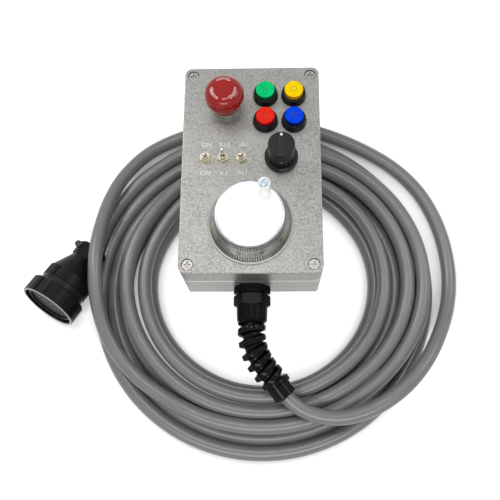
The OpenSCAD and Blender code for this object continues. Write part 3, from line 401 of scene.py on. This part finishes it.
cap_places = {"green": (10.3, 56), "yellow": (31, 56), "red": (10.3, 35), "blue": (31, 35)}
cap_signs = {
    "green": [[Vector((-1.8, -2.3)), Vector((2.4, 0)), Vector((-1.8, 2.3))]],
    "yellow": [[polar(2.4, 15 * k) for k in range(24)]],
    "red": [oblong(0, 2, -2, 2)],
    "blue": [oblong(x, 0.6, -2.1, 2.1) for x in (-1.3, 1.3)],
}
bezel_black = finish("bezel_black", (0.012, 0.012, 0.013), (0.006, 0.006, 0.007), grain=400,
                     rough=0.36, bump=0.06, shine=0.14)
for colour, (pale, dark, side) in cap_colours.items():
    cap_plastic = finish("cap_" + colour, pale, dark, grain=180, rough=0.3, bump=0.03,
                         bump_grain=800, shine=0.04)
    # Below its top edge the cap is painted darker: a painted shade on its sides.
    painted_side_shade = shade(cap_plastic.node_tree, "MapRange", Value=height(cap_plastic, cap_top),
                  From_Min=edge_from, From_Max=edge_to).outputs[0]
    paint_over(cap_plastic, painted_side_shade, side)
    dress(cap_plastic, colour + "_cap", colour + "_cap")
    dress(bezel_black, "black_bezel", colour + "_bezel")
    dress(switch_plastic, "switch_body", colour + "_contact_block")
    sign_ink = finish("sign_" + colour, [ink_pale * c for c in pale], [ink_dark * c for c in pale],
                      grain=700, rough=0.5, bump=0.03)
    cap_at = Vector(cap_places[colour]) * mm
    signs = [[p * mm for p in outline] for outline in cap_signs[colour]]
    sign_points, sign_faces = line_round(signs, sign_line, lambda p: Vector((*(cap_at + p), cap_top)))
    piece_of(colour + "_sign", sign_points, sign_faces, sign_ink, colour + "_button", colour + "_cap")

# The three toggle switches have chromed bat levers on pivot pins, threaded bushings with
# brass-toned hex nuts and washers over the cover, and moulded bodies under it.
lever_chrome = finish("lever_chrome", (0.80, 0.79, 0.77), (0.50, 0.49, 0.47), grain=700, rough=0.2,
                      metal=1.0)
toggle_brass = finish("toggle_brass", (0.74, 0.68, 0.53), (0.34, 0.29, 0.20), grain=900, rough=0.30,
                      metal=0.9, bump=0.12)
bushing_metal = finish("bushing_metal", (0.52, 0.49, 0.42), (0.26, 0.24, 0.20), grain=900,
                       rough=0.34, metal=0.9, bump=0.15)
for side in ("left", "middle", "right"):
    dress(lever_chrome, "lever_chrome", side + "_toggle_lever")
    dress(bushing_metal, "toggle_body", side + "_toggle_body")
dress(toggle_brass, "brass", "toggle_nuts", "toggle_washers")

# The selector knob is a black fluted moulding with a skirt, a white mark on its top and two fine grey
# lines there that are painted highlights on the edges of its pointer groove, and a brass set screw in its
# side, on the shaft of a rotary control.
knob_at = Vector((21.6, 6)) * mm
knob_top = face_z + 22.5 * mm
knob_black = finish("knob_black", (0.011, 0.011, 0.012), (0.005, 0.005, 0.006), grain=300,
                    rough=0.36, bump=0.08, shine=0.24)
dress(knob_black, "black_knob", "selector_knob")
mark_white = finish("mark_white", (0.90, 0.90, 0.88), (0.78, 0.78, 0.76), grain=300, rough=0.5)
dress(mark_white, "white_mark", "knob_pointer")
yellow_brass = finish("yellow_brass", (0.80, 0.52, 0.14), (0.55, 0.34, 0.08), grain=700, rough=0.35,
                      metal=0.4, bump=0.1)
dress(yellow_brass, "brass", "knob_set_screw")
dress(nut_metal, "nut_steel", "selector_shaft", "selector_nut")
dress(switch_plastic, "rotary_body", "selector_body")
# The two fine grey strips along the pointer groove's edges are painted highlights on those edges.
line_half, line_gap, line_thick = 0.09 * mm, 1.05 * mm, 0.03 * mm
line_front, line_back = -7.6 * mm, 6.2 * mm
groove_highlight_strips = [oblong(x, line_half, line_front, line_back) for x in (-line_gap, line_gap)]
groove_highlight_grey = finish("groove_highlight_grey", (0.085, 0.085, 0.088), (0.055, 0.055, 0.058), grain=500, rough=0.5)
line_points, line_faces = line_round(groove_highlight_strips, line_half * 0.9,
                                     lambda p: Vector((*(knob_at + p), knob_top)), line_thick)
piece_of("knob_groove_highlights", line_points, line_faces, groove_highlight_grey, "selector", "black_knob")

# The handwheel is a turned aluminium dial: a white-faced disc on a graduated cone, over a
# fixed flange. A white spinner turns on a shouldered screw near the edge of the disc.
wheel_at = Vector((0, -44, 0)) * mm
cone_low, cone_low_r = face_z + 3.2 * mm, 28.5 * mm
cone_high, cone_high_r = face_z + 16.5 * mm, 23.8 * mm
cone_side = Vector((cone_high_r - cone_low_r, 0, cone_high - cone_low))
cone_side.normalize()
cone_out = Vector((cone_side.z, 0, -cone_side.x))


def off_axis(material, centre):
    """How far a point lies from an upright axis, in the piece's own place."""
    tree = material.node_tree
    across = along(material, (1, 0, 0), centre)
    up = along(material, (0, 1, 0), centre)
    squares = [reckon(tree, "MULTIPLY", way, way) for way in (across, up)]
    return reckon(tree, "SQRT", reckon(tree, "ADD", *squares))


wheel_metal = finish("wheel_metal", (0.45, 0.44, 0.415), (0.36, 0.352, 0.335), grain=420,
                     rough=0.22, metal=0.95, bump=0.03)
disc_top, side_mid, side_half = 20.9 * mm, 19.3 * mm, 1.7 * mm
rim_r, rim_line_r, rim_line_half = 22.3 * mm, 22.2 * mm, 0.2 * mm
wheel_tree = wheel_metal.node_tree
disc_face = reckon(wheel_tree, "GREATER_THAN", height(wheel_metal, face_z), disc_top)
paint_over(wheel_metal, disc_face, (0.98, 0.98, 0.98))
disc_side = reckon(wheel_tree, "COMPARE", height(wheel_metal, face_z), side_mid, side_half)
paint_over(wheel_metal, disc_side, (0.70, 0.76, 0.78))
disc_out = off_axis(wheel_metal, wheel_at)
disc_rim = reckon(wheel_tree, "GREATER_THAN", disc_out, rim_r)
paint_over(wheel_metal, reckon(wheel_tree, "MULTIPLY", disc_rim, disc_face), (0.62, 0.69, 0.71))
disc_line = reckon(wheel_tree, "COMPARE", disc_out, rim_line_r, rim_line_half)
paint_over(wheel_metal, reckon(wheel_tree, "MULTIPLY", disc_line, disc_face), (0.30, 0.34, 0.36))
lathe_marks = shade(wheel_tree, "Tangent")
lathe_marks.direction_type, lathe_marks.axis = "RADIAL", "Z"
wheel_shader = wheel_tree.nodes["Principled BSDF"]
wheel_tree.links.new(lathe_marks.outputs[0], wheel_shader.inputs["Tangent"])
wheel_shader.inputs["Anisotropic"].default_value = 0.8
wheel_shader.inputs["Anisotropic Rotation"].default_value = 0.25
dress(wheel_metal, "wheel_metal", "handwheel")
flange_metal = finish("flange_metal", (0.66, 0.66, 0.64), (0.52, 0.52, 0.50), grain=300, rough=0.3,
                      metal=0.95)
flange_high = 1.8 * mm
flange_top = reckon(flange_metal.node_tree, "GREATER_THAN", height(flange_metal, face_z), flange_high)
paint_over(flange_metal, flange_top, (0.20, 0.20, 0.19))
dress(flange_metal, "wheel_metal", "wheel_flange")
handle_white = finish("handle_white", (0.92, 0.92, 0.91), (0.84, 0.84, 0.83), grain=300, rough=0.35,
                      bump=0.03)
dress(handle_white, "handle_white", "wheel_handle")
blue_steel = finish("blue_steel", (0.62, 0.70, 0.74), (0.16, 0.20, 0.23), grain=600, rough=0.25,
                    metal=1.0, bump=0.12)
dress(blue_steel, "handle_screw", "handle_screw")
dress(nut_metal, "nut_steel", "wheel_shaft", "encoder_screws")
dress(switch_plastic, "rotary_body", "encoder_body")


def new_tree(name, sizes):
    """A Geometry Nodes tree with named inputs, and a maker for its nodes."""
    tree = bpy.data.node_groups.new(name, "GeometryNodeTree")
    for label, kind in [("Geometry", "Geometry")] + sizes + [("Finish", "Material")]:
        tree.interface.new_socket(label, in_out="INPUT", socket_type="NodeSocket" + kind)
    tree.interface.new_socket("Geometry", in_out="OUTPUT", socket_type="NodeSocketGeometry")
    given = tree.nodes.new("NodeGroupInput").outputs

    def add(kind, ins=(), **settings):
        """One node with its settings, and its inputs set or linked in order or by name."""
        made = tree.nodes.new(kind)
        for key, value in settings.items():
            setattr(made, key, value)
        for key, value in (ins.items() if isinstance(ins, dict) else enumerate(ins)):
            if isinstance(value, bpy.types.NodeSocket):
                tree.links.new(value, made.inputs[key])
            else:
                made.inputs[key].default_value = value
        return made.outputs

    def end(shape):
        """The tree's last nodes: plain geometry in its finish."""
        real = add("GeometryNodeRealizeInstances", [shape])[0]
        dressed = add("GeometryNodeSetMaterial", {"Geometry": real, "Material": given["Finish"]})[0]
        tree.links.new(dressed, tree.nodes.new("NodeGroupOutput").inputs[0])

    return tree, given, add, end


def grow(name, points, edges, faces, tree, sizes, body):
    """The tree's result on a mesh, made a plain mesh that rides on a body."""
    mesh = bpy.data.meshes.new(name)
    mesh.from_pydata([tuple(p) for p in points], edges, faces)
    piece = bpy.data.objects.new(name, mesh)
    scene.collection.objects.link(piece)
    modifier = piece.modifiers.new("grow", "NODES")
    modifier.node_group = tree
    for socket in tree.interface.items_tree:
        if socket.in_out == "INPUT" and socket.name in sizes:
            modifier[socket.identifier] = sizes[socket.name]
    seen = piece.evaluated_get(bpy.context.evaluated_depsgraph_get())
    made = bpy.data.meshes.new_from_object(seen)
    piece.modifiers.remove(modifier)
    piece.data = made
    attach(piece, body)
    return piece


dial_ring, given, add, end = new_tree("marks_round_the_dial", [("Count", "Int"), ("Axis", "Vector")])
marks = add("GeometryNodePoints", {"Count": given["Count"]})[0]
index = add("GeometryNodeInputIndex")[0]
part = add("ShaderNodeMath", [index, given["Count"]], operation="DIVIDE")[0]
angle = add("ShaderNodeMath", [part, 2 * math.pi], operation="MULTIPLY")[0]
turn = add("ShaderNodeCombineXYZ", {"Z": angle})[0]
copies = add("GeometryNodeInstanceOnPoints", {"Points": marks, "Instance": given["Geometry"],
                                              "Rotation": turn})[0]
moved = add("GeometryNodeTransform", {"Geometry": copies, "Translation": given["Axis"]})[0]
end(moved)

tick_ink = finish("tick_ink", (0.020, 0.020, 0.020), (0.010, 0.010, 0.010), grain=600, rough=0.5,
                  shine=0.15)
tick_sunk, tick_thick = 0.04 * mm, 0.08 * mm
box_faces = [(0, 3, 2, 1), (4, 5, 6, 7), (0, 1, 5, 4), (1, 2, 6, 5), (2, 3, 7, 6), (3, 0, 4, 7)]


def tick(start, stop, width):
    """A thin bar up the cone's side, between two distances from its foot."""
    foot = Vector((cone_low_r, 0, cone_low)) - cone_out * tick_sunk
    across = Vector((0, width / 2, 0))
    ends = ((start, -1), (start, 1), (stop, 1), (stop, -1))
    corners = [foot + cone_side * s + across * side for s, side in ends]
    return corners + [p + cone_out * tick_thick for p in corners]


# Each row has a piece, its count, where it starts and stops up the cone, and its width.
dial_marks = [("dial_ticks", 100, 0.2, 4.2, 0.55), ("dial_long_ticks", 10, 0.2, 5.2, 0.6),
              ("dial_upper_ticks", 100, 11.2, 13.9, 0.6)]
for name, count, start, stop, width in dial_marks:
    grow(name, tick(start * mm, stop * mm, width * mm), [], box_faces, dial_ring,
         {"Count": count, "Axis": tuple(wheel_at), "Finish": tick_ink}, "dial")

number_count, number_up, number_high, number_thick = 10, 7.6 * mm, 3.4 * mm, 0.03 * mm
number_points, number_faces = [], []
for k in range(number_count):
    spin = Matrix.Rotation(2 * math.pi * k / number_count, 4, "Z")
    middle = Vector((cone_low_r, 0, cone_low)) + cone_side * number_up
    upright = Matrix.Identity(4)
    for column, axis in enumerate((Vector((0, 1, 0)), cone_side, cone_out, middle)):
        upright.col[column].xyz = axis
    on_cone = Matrix.Translation(wheel_at) @ spin @ upright
    points, faces = lettering(str(10 * k), number_high, number_thick, on_cone)
    number_faces += [tuple(i + len(number_points) for i in f) for f in faces]
    number_points += points
piece_of("dial_numbers", number_points, number_faces, tick_ink, "dial", "black_knob")

# The cable gland is black nylon: a hex body, a dome nut, a locknut and a seal. A moulded
# spiral sleeve with a collar at its end keeps the cable from kinking.
gland_black = finish("gland_black", (0.005, 0.005, 0.006), (0.002, 0.002, 0.003), grain=350,
                     rough=0.12, shine=0.11)
dress(gland_black, "gland_black", "gland_body", "gland_locknut")
nut_nylon = finish("nut_nylon", (0.006, 0.006, 0.007), (0.003, 0.003, 0.004), grain=350, rough=0.24,
                   shine=0.05)
dress(nut_nylon, "gland_black", "gland_nut")
dress(seal_rubber, "seal_rubber", "gland_seal")
sleeve_marks = [Vector(p) * mm for p in (
    (0, -106, -25.5), (0, -116.5, -25.5), (2.1, -126.8, -27.9), (8, -137.4, -31.7), (15.9, -146.4, -35.1),
    (17.8, -148.8, -35.8))]
collar_from, collar_to = Vector((15.93, -146.37, -35.13)) * mm, Vector((24.26, -157.19, -38.2)) * mm


def smooth_at(marks, i, t):
    """A point on the smooth curve through these marks, a part t of the way from mark i."""
    a, b = marks[max(i - 1, 0)], marks[i]
    c, d = marks[i + 1], marks[min(i + 2, len(marks) - 1)]
    bend = a * 2 - b * 5 + c * 4 - d
    twist = b * 3 - a - c * 3 + d
    return (b * 2 + (c - a) * t + bend * t * t + twist * t ** 3) * 0.5


def smooth_line(marks, step):
    """Points about a step apart on the smooth curve through these marks."""
    line = []
    for i in range(len(marks) - 1):
        span = max(1, round((marks[i + 1] - marks[i]).length / step))
        line += [smooth_at(marks, i, k / span) for k in range(span)]
    return line + [marks[-1]]


spiral, given, add, end = new_tree("spiral_sleeve", [
    ("Turns", "Float"), ("Bore radius", "Float"), ("Rib radius", "Float"), ("Rib foot", "Float"),
    ("Rib crest", "Float"), ("Rib height", "Float")])
way_points, bore_sides, rib_round, round_points = 420, 40, 0.5 * mm, 3
way = add("GeometryNodeMeshToCurve", [given["Geometry"]])[0]
way = add("GeometryNodeResampleCurve", {"Curve": way, "Count": way_points})[0]
turned = add("GeometryNodeSplineParameter")["Factor"]
turned = add("ShaderNodeMath", [turned, given["Turns"]], operation="MULTIPLY")[0]
turned = add("ShaderNodeMath", [turned, 2 * math.pi], operation="MULTIPLY")[0]
upward = add("GeometryNodeInputNormal")[0]
forward = add("GeometryNodeInputTangent")[0]
sideways = add("ShaderNodeVectorMath", [forward, upward], operation="CROSS_PRODUCT")[0]
high = add("ShaderNodeMath", [turned], operation="COSINE")[0]
wide = add("ShaderNodeMath", [turned], operation="SINE")[0]
upward = add("ShaderNodeVectorMath", {0: upward, "Scale": high}, operation="SCALE")[0]
sideways = add("ShaderNodeVectorMath", {0: sideways, "Scale": wide}, operation="SCALE")[0]
outward = add("ShaderNodeVectorMath", [upward, sideways], operation="ADD")[0]
kept = add("GeometryNodeStoreNamedAttribute", {"Geometry": way, "Name": "outward", "Value": outward},
           data_type="FLOAT_VECTOR")[0]
outward = add("GeometryNodeInputNamedAttribute", {"Name": "outward"}, data_type="FLOAT_VECTOR")[0]
offset = add("ShaderNodeVectorMath", {0: outward, "Scale": given["Rib radius"]}, operation="SCALE")[0]
helix = add("GeometryNodeSetPosition", {"Geometry": kept, "Offset": offset})[0]
helix = add("GeometryNodeSetCurveNormal", {"Curve": helix, "Normal": outward}, mode="FREE")[0]
rib = add("GeometryNodeCurvePrimitiveQuadrilateral", {
    "Bottom Width": given["Rib foot"], "Top Width": given["Rib crest"], "Height": given["Rib height"],
    "Offset": 0.0}, mode="TRAPEZOID")[0]
rib = add("GeometryNodeTransform", {"Geometry": rib, "Rotation": (0, 0, -math.pi / 2)})[0]
rib = add("GeometryNodeFilletCurve", {"Curve": rib, "Radius": rib_round, "Count": round_points},
          mode="POLY")[0]
rib = add("GeometryNodeCurveToMesh", {"Curve": helix, "Profile Curve": rib, "Fill Caps": True})[0]
bore = add("GeometryNodeCurvePrimitiveCircle", {"Resolution": bore_sides,
                                                "Radius": given["Bore radius"]})[0]
bore = add("GeometryNodeCurveToMesh", {"Curve": way, "Profile Curve": bore, "Fill Caps": True})[0]
joined = add("GeometryNodeJoinGeometry")
spiral.links.new(rib, spiral.nodes[-1].inputs[0])
spiral.links.new(bore, spiral.nodes[-1].inputs[0])
end(add("GeometryNodeSetShadeSmooth", {"Geometry": joined[0], "Shade Smooth": True})[0])

sleeve_step = 0.8 * mm
sleeve_line = smooth_line(sleeve_marks, sleeve_step)
sleeve_edges = [(i, i + 1) for i in range(len(sleeve_line) - 1)]
sleeve_sizes = {"Turns": 6.5, "Bore radius": 6.4 * mm, "Rib radius": 8.0 * mm, "Rib foot": 6.9 * mm,
                "Rib crest": 3.6 * mm, "Rib height": 4.4 * mm, "Finish": gland_black}
sleeve = grow("spiral_sleeve", sleeve_line, sleeve_edges, [], spiral, sleeve_sizes, "housing")
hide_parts("strain_relief")


def turned_round(profile, sides, start, axis):
    """Points and faces of a profile of (radius, distance) pairs turned round an axis."""
    axis = axis.normalized()
    across = axis.cross(Vector((0, 0, 1))).normalized()
    up = across.cross(axis)
    points, faces = [], []
    for r, s in profile:
        for k in range(sides):
            spin = 2 * math.pi * k / sides
            points.append(start + axis * s + (across * math.cos(spin) + up * math.sin(spin)) * r)
    for i in range(len(profile) - 1):
        for k in range(sides):
            a, b = i * sides + k, i * sides + (k + 1) % sides
            faces.append((a, b, b + sides, a + sides))
    faces.append(tuple(reversed(range(sides))))
    faces.append(tuple(range((len(profile) - 1) * sides, len(profile) * sides)))
    return points, faces


collar_sides = 48
collar_profile = [(r * mm, s * mm) for r, s in (
    (6.4, 0), (7.9, 0.1), (8.5, 0.6), (8.5, 3.2), (8.2, 3.5), (8.2, 4.0), (8.5, 4.3), (8.6, 12.9),
    (8.1, 13.6), (6.2, 13.7))]
collar_points, collar_faces = turned_round(collar_profile, collar_sides, collar_from,
                                           collar_to - collar_from)
collar = piece_of("sleeve_collar", collar_points, collar_faces, gland_black, "housing", "gland_black")
collar.data.shade_smooth()
collar.data.set_sharp_from_angle(angle=0.6)

# The cable is a grey jacketed multi-core, 11 mm thick. It leaves the sleeve, runs round
# the right side and behind the box, and ends in seven loose turns under it.
cable_d = 11 * mm
cord_zero = Vector((0, -80, -69.5)) * mm
lead_route = [
    (24.5, -77.5, 31.2), (33.5, -85, 29.2), (47.5, -90.6, 28), (66, -91.5, 27.8), (86, -85.5, 27.8),
    (103.5, -75, 27.8), (117, -63, 27), (129, -48, 24), (139.5, -30, 17.5), (148, -10, 10.5),
    (152.5, 10, 6.5), (153, 30, 5.5), (149.5, 53, 5.5), (142, 75, 5.5), (131, 94, 5.5), (114, 112, 5.5),
    (92, 127, 5.5), (66, 140, 5.5), (38, 149, 5.5), (6, 152.5, 5.5), (-28, 151, 5.5), (-61, 141.5, 5.5),
    (-88, 127, 6.5), (-106, 106, 11), (-115.5, 82, 18.5), (-120, 55, 26.5), (-121, 30, 32.3),
    (-119.5, 4, 32), (-115.5, -17, 27), (-109, -34, 22), (-98, -50.5, 18.3), (-82.5, -65.5, 16.7),
    (-62, -79, 16.5)]
plug_route = [(-92.5, 103, 5.5), (-110, 81.5, 5.5), (-119, 65, 6.8), (-122.8, 51.5, 9.3)]
plug_dir = Vector((-0.4872, -0.8438, 0.2250))
plug_front = Vector((-157, -90.3, -44.22)) * mm
plug_long = 58.5 * mm
plug_tail = (plug_front - plug_dir * plug_long - cord_zero) / mm
coil_centre = Vector((6, 14, 0))
turn_sides = (180, 240, 300, 360, 420, 490)
turn_radii = [
    (129, 114, 114, 125, 116.5, 102),
    (104, 102, 103, 113, 105, 90),
    (91, 90.5, 91, 95, 92, 84.5),
    (88, 86, 87, 89, 86, 96),
    (106, 106, 101, 104.5, 99, 107.5),
    (116, 118.5, 118.5, 116, 110.5, 119),
    (127, 130, 130, 128, 124, 131)]
strand_gap = 11.15
strand_low = 5.5
box_clear, box_half, box_from = 16.4, 62, 70
step_degrees, next_turn, ease_reaches = 5, 32, (4, 3)
cable_step, straight_end = 5, 4

turn_marks = [Vector((side + 360 * n, r)) for n, row in enumerate(turn_radii)
              for side, r in zip(turn_sides, row)]
coil = []
for i in range(1, len(turn_marks) - 1):
    span = int((turn_marks[i + 1].x - turn_marks[i].x) / step_degrees)
    for k in range(span):
        angle, r = smooth_at(turn_marks, i, k / span)
        coil.append(coil_centre + Vector((*polar(r, angle), strand_low)))
for i in reversed(range(len(coil))):
    for under in coil[i + next_turn:]:
        apart = (under - coil[i]).xy.length
        if apart < strand_gap:
            coil[i].z = max(coil[i].z, under.z + math.sqrt(strand_gap ** 2 - apart ** 2))
for p in coil:
    if abs(p.x) < box_half and p.y > box_from:
        p.z = min(p.z, box_clear)
for reach in ease_reaches:
    heights = [p.z for p in coil]
    for i, p in enumerate(coil):
        near = heights[max(i - reach, 0):i + reach + 1]
        p.z = sum(near) / len(near)
cable_marks = [Vector(p) for p in lead_route] + coil + [Vector(p) for p in plug_route]
cable_marks += [plug_tail - plug_dir * straight_end, plug_tail + plug_dir]
cable_line = [cord_zero + p * mm for p in smooth_line(cable_marks, cable_step)]

cable_curve = bpy.data.curves.new("cable", "CURVE")
cable_curve.dimensions = "3D"
cable_curve.bevel_depth = cable_d / 2
cable_curve.bevel_resolution = 6
cable_curve.use_fill_caps = True
strand = cable_curve.splines.new("POLY")
strand.points.add(len(cable_line) - 1)
for point, p in zip(strand.points, cable_line):
    point.co = (*p, 1)
strand.use_smooth = True
cable = bpy.data.objects.new("cable", cable_curve)
scene.collection.objects.link(cable)
cable_jacket = finish("cable_jacket", (0.170, 0.171, 0.170), (0.158, 0.159, 0.158), grain=90,
                      rough=0.32, bump=0.03, bump_grain=700, shine=0.65)
cable_curve.materials.append(cable_jacket)
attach(cable, "housing")
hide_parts("cable_lead", "cable_coil", "plug_lead")
dress(cable_jacket, "cable_jacket", "cable_tail")

# The plug is a round multi-contact one in black moulded plastic: a grooved coupling ring whose pale front
# rim is a painted highlight, a shell with its contact insert, a back shell and a cable clamp.
plug_black = finish("plug_black", (0.010, 0.010, 0.010), (0.005, 0.005, 0.005), grain=220,
                    rough=0.36, bump=0.08, shine=0.11)
dress(plug_black, "plug_black", "plug_backshell", "plug_clamp")
rim_highlit_black = finish("rim_highlit_black", (0.009, 0.009, 0.010), (0.004, 0.004, 0.005), grain=220,
                    rough=0.34, bump=0.08, shine=0.12)
# The front rim of the coupling ring is painted pale: a painted highlight on its edge.
rim_highlight_from = -0.45 * mm
rim_depth = along(rim_highlit_black, plug_dir, plug_front)
painted_rim_highlight = reckon(rim_highlit_black.node_tree, "GREATER_THAN", rim_depth, rim_highlight_from)
paint_over(rim_highlit_black, painted_rim_highlight, (0.36, 0.36, 0.36))
dress(rim_highlit_black, "plug_black", "plug_coupling_ring")
shell_black = finish("shell_black", (0.016, 0.016, 0.016), (0.008, 0.008, 0.008), grain=260,
                     rough=0.34, bump=0.08, shine=0.16)
shell_from = -2.15 * mm
shell_depth = along(shell_black, plug_dir, plug_front)
shell_rim = reckon(shell_black.node_tree, "GREATER_THAN", shell_depth, shell_from)
paint_over(shell_black, shell_rim, (0.08, 0.08, 0.08))
dress(shell_black, "plug_black", "plug_shell")
insert_black = finish("insert_black", (0.014, 0.014, 0.014), (0.007, 0.007, 0.007), grain=400,
                      rough=0.5, bump=0.08, shine=0.12)
dress(insert_black, "insert_black", "plug_insert")
dark_screw = finish("dark_screw", (0.060, 0.058, 0.056), (0.030, 0.029, 0.028), grain=600,
                    rough=0.35, metal=0.6, bump=0.1)
dress(dark_screw, "steel", "plug_clamp_screws")

contact_field, given, add, end = new_tree("contact_field", [
    ("Pitch", "Float"), ("Reach", "Float"), ("Place", "Vector"), ("Turn", "Rotation")])
contact_rows, row_lean, row_rise = 9, 0.5, 0.866
side_long = add("ShaderNodeMath", [given["Pitch"], contact_rows - 1.0], operation="MULTIPLY")[0]
grid = add("GeometryNodeMeshGrid", {"Size X": side_long, "Size Y": side_long,
                                    "Vertices X": contact_rows, "Vertices Y": contact_rows})[0]
spot = add("ShaderNodeSeparateXYZ", [add("GeometryNodeInputPosition")[0]])
half = add("ShaderNodeMath", [spot["Y"], row_lean], operation="MULTIPLY")[0]
spot_x = add("ShaderNodeMath", [spot["X"], half], operation="ADD")[0]
spot_y = add("ShaderNodeMath", [spot["Y"], row_rise], operation="MULTIPLY")[0]
spot = add("ShaderNodeCombineXYZ", {"X": spot_x, "Y": spot_y})[0]
grid = add("GeometryNodeSetPosition", {"Geometry": grid, "Position": spot})[0]
reach = add("ShaderNodeVectorMath", [add("GeometryNodeInputPosition")[0]], operation="LENGTH")["Value"]
beyond = add("FunctionNodeCompare", [reach, given["Reach"]], operation="GREATER_THAN")[0]
grid = add("GeometryNodeDeleteGeometry", {"Geometry": grid, "Selection": beyond})[0]
copies = add("GeometryNodeInstanceOnPoints", {"Points": grid, "Instance": given["Geometry"]})[0]
placed = add("GeometryNodeTransform", {"Geometry": copies, "Translation": given["Place"],
                                       "Rotation": given["Turn"]})[0]
end(placed)

contact_metal = finish("contact_metal", (0.40, 0.39, 0.36), (0.24, 0.235, 0.215), grain=900,
                       rough=0.35, metal=0.9, bump=0.1)
contact_sides = 10
contact_profile = [(0.25, -1.2), (0.25, 0.05), (0.62, 0.05), (0.62, -1.2)]
contact_points = [(*polar(r * mm, 360 * k / contact_sides), s * mm)
                  for r, s in contact_profile for k in range(contact_sides)]
contact_rings = len(contact_profile)
contact_faces = []
for i in range(contact_rings):
    for k in range(contact_sides):
        a, b = i * contact_sides, (i + 1) % contact_rings * contact_sides
        next_k = (k + 1) % contact_sides
        contact_faces.append((a + k, b + k, b + next_k, a + next_k))
heading, lift = math.radians(240), math.radians(13)
plug_turn = (Matrix.Rotation(heading, 3, "Z") @ Matrix.Rotation(math.pi / 2 - lift, 3, "Y")).to_euler()
contact_deep = 3.4 * mm
contact_sizes = {"Pitch": 3.7 * mm, "Reach": 15.48 * mm, "Turn": plug_turn, "Finish": contact_metal,
                 "Place": tuple(plug_front - plug_dir * contact_deep)}
contacts = grow("plug_contacts", contact_points, [], contact_faces, contact_field, contact_sizes,
                "housing")
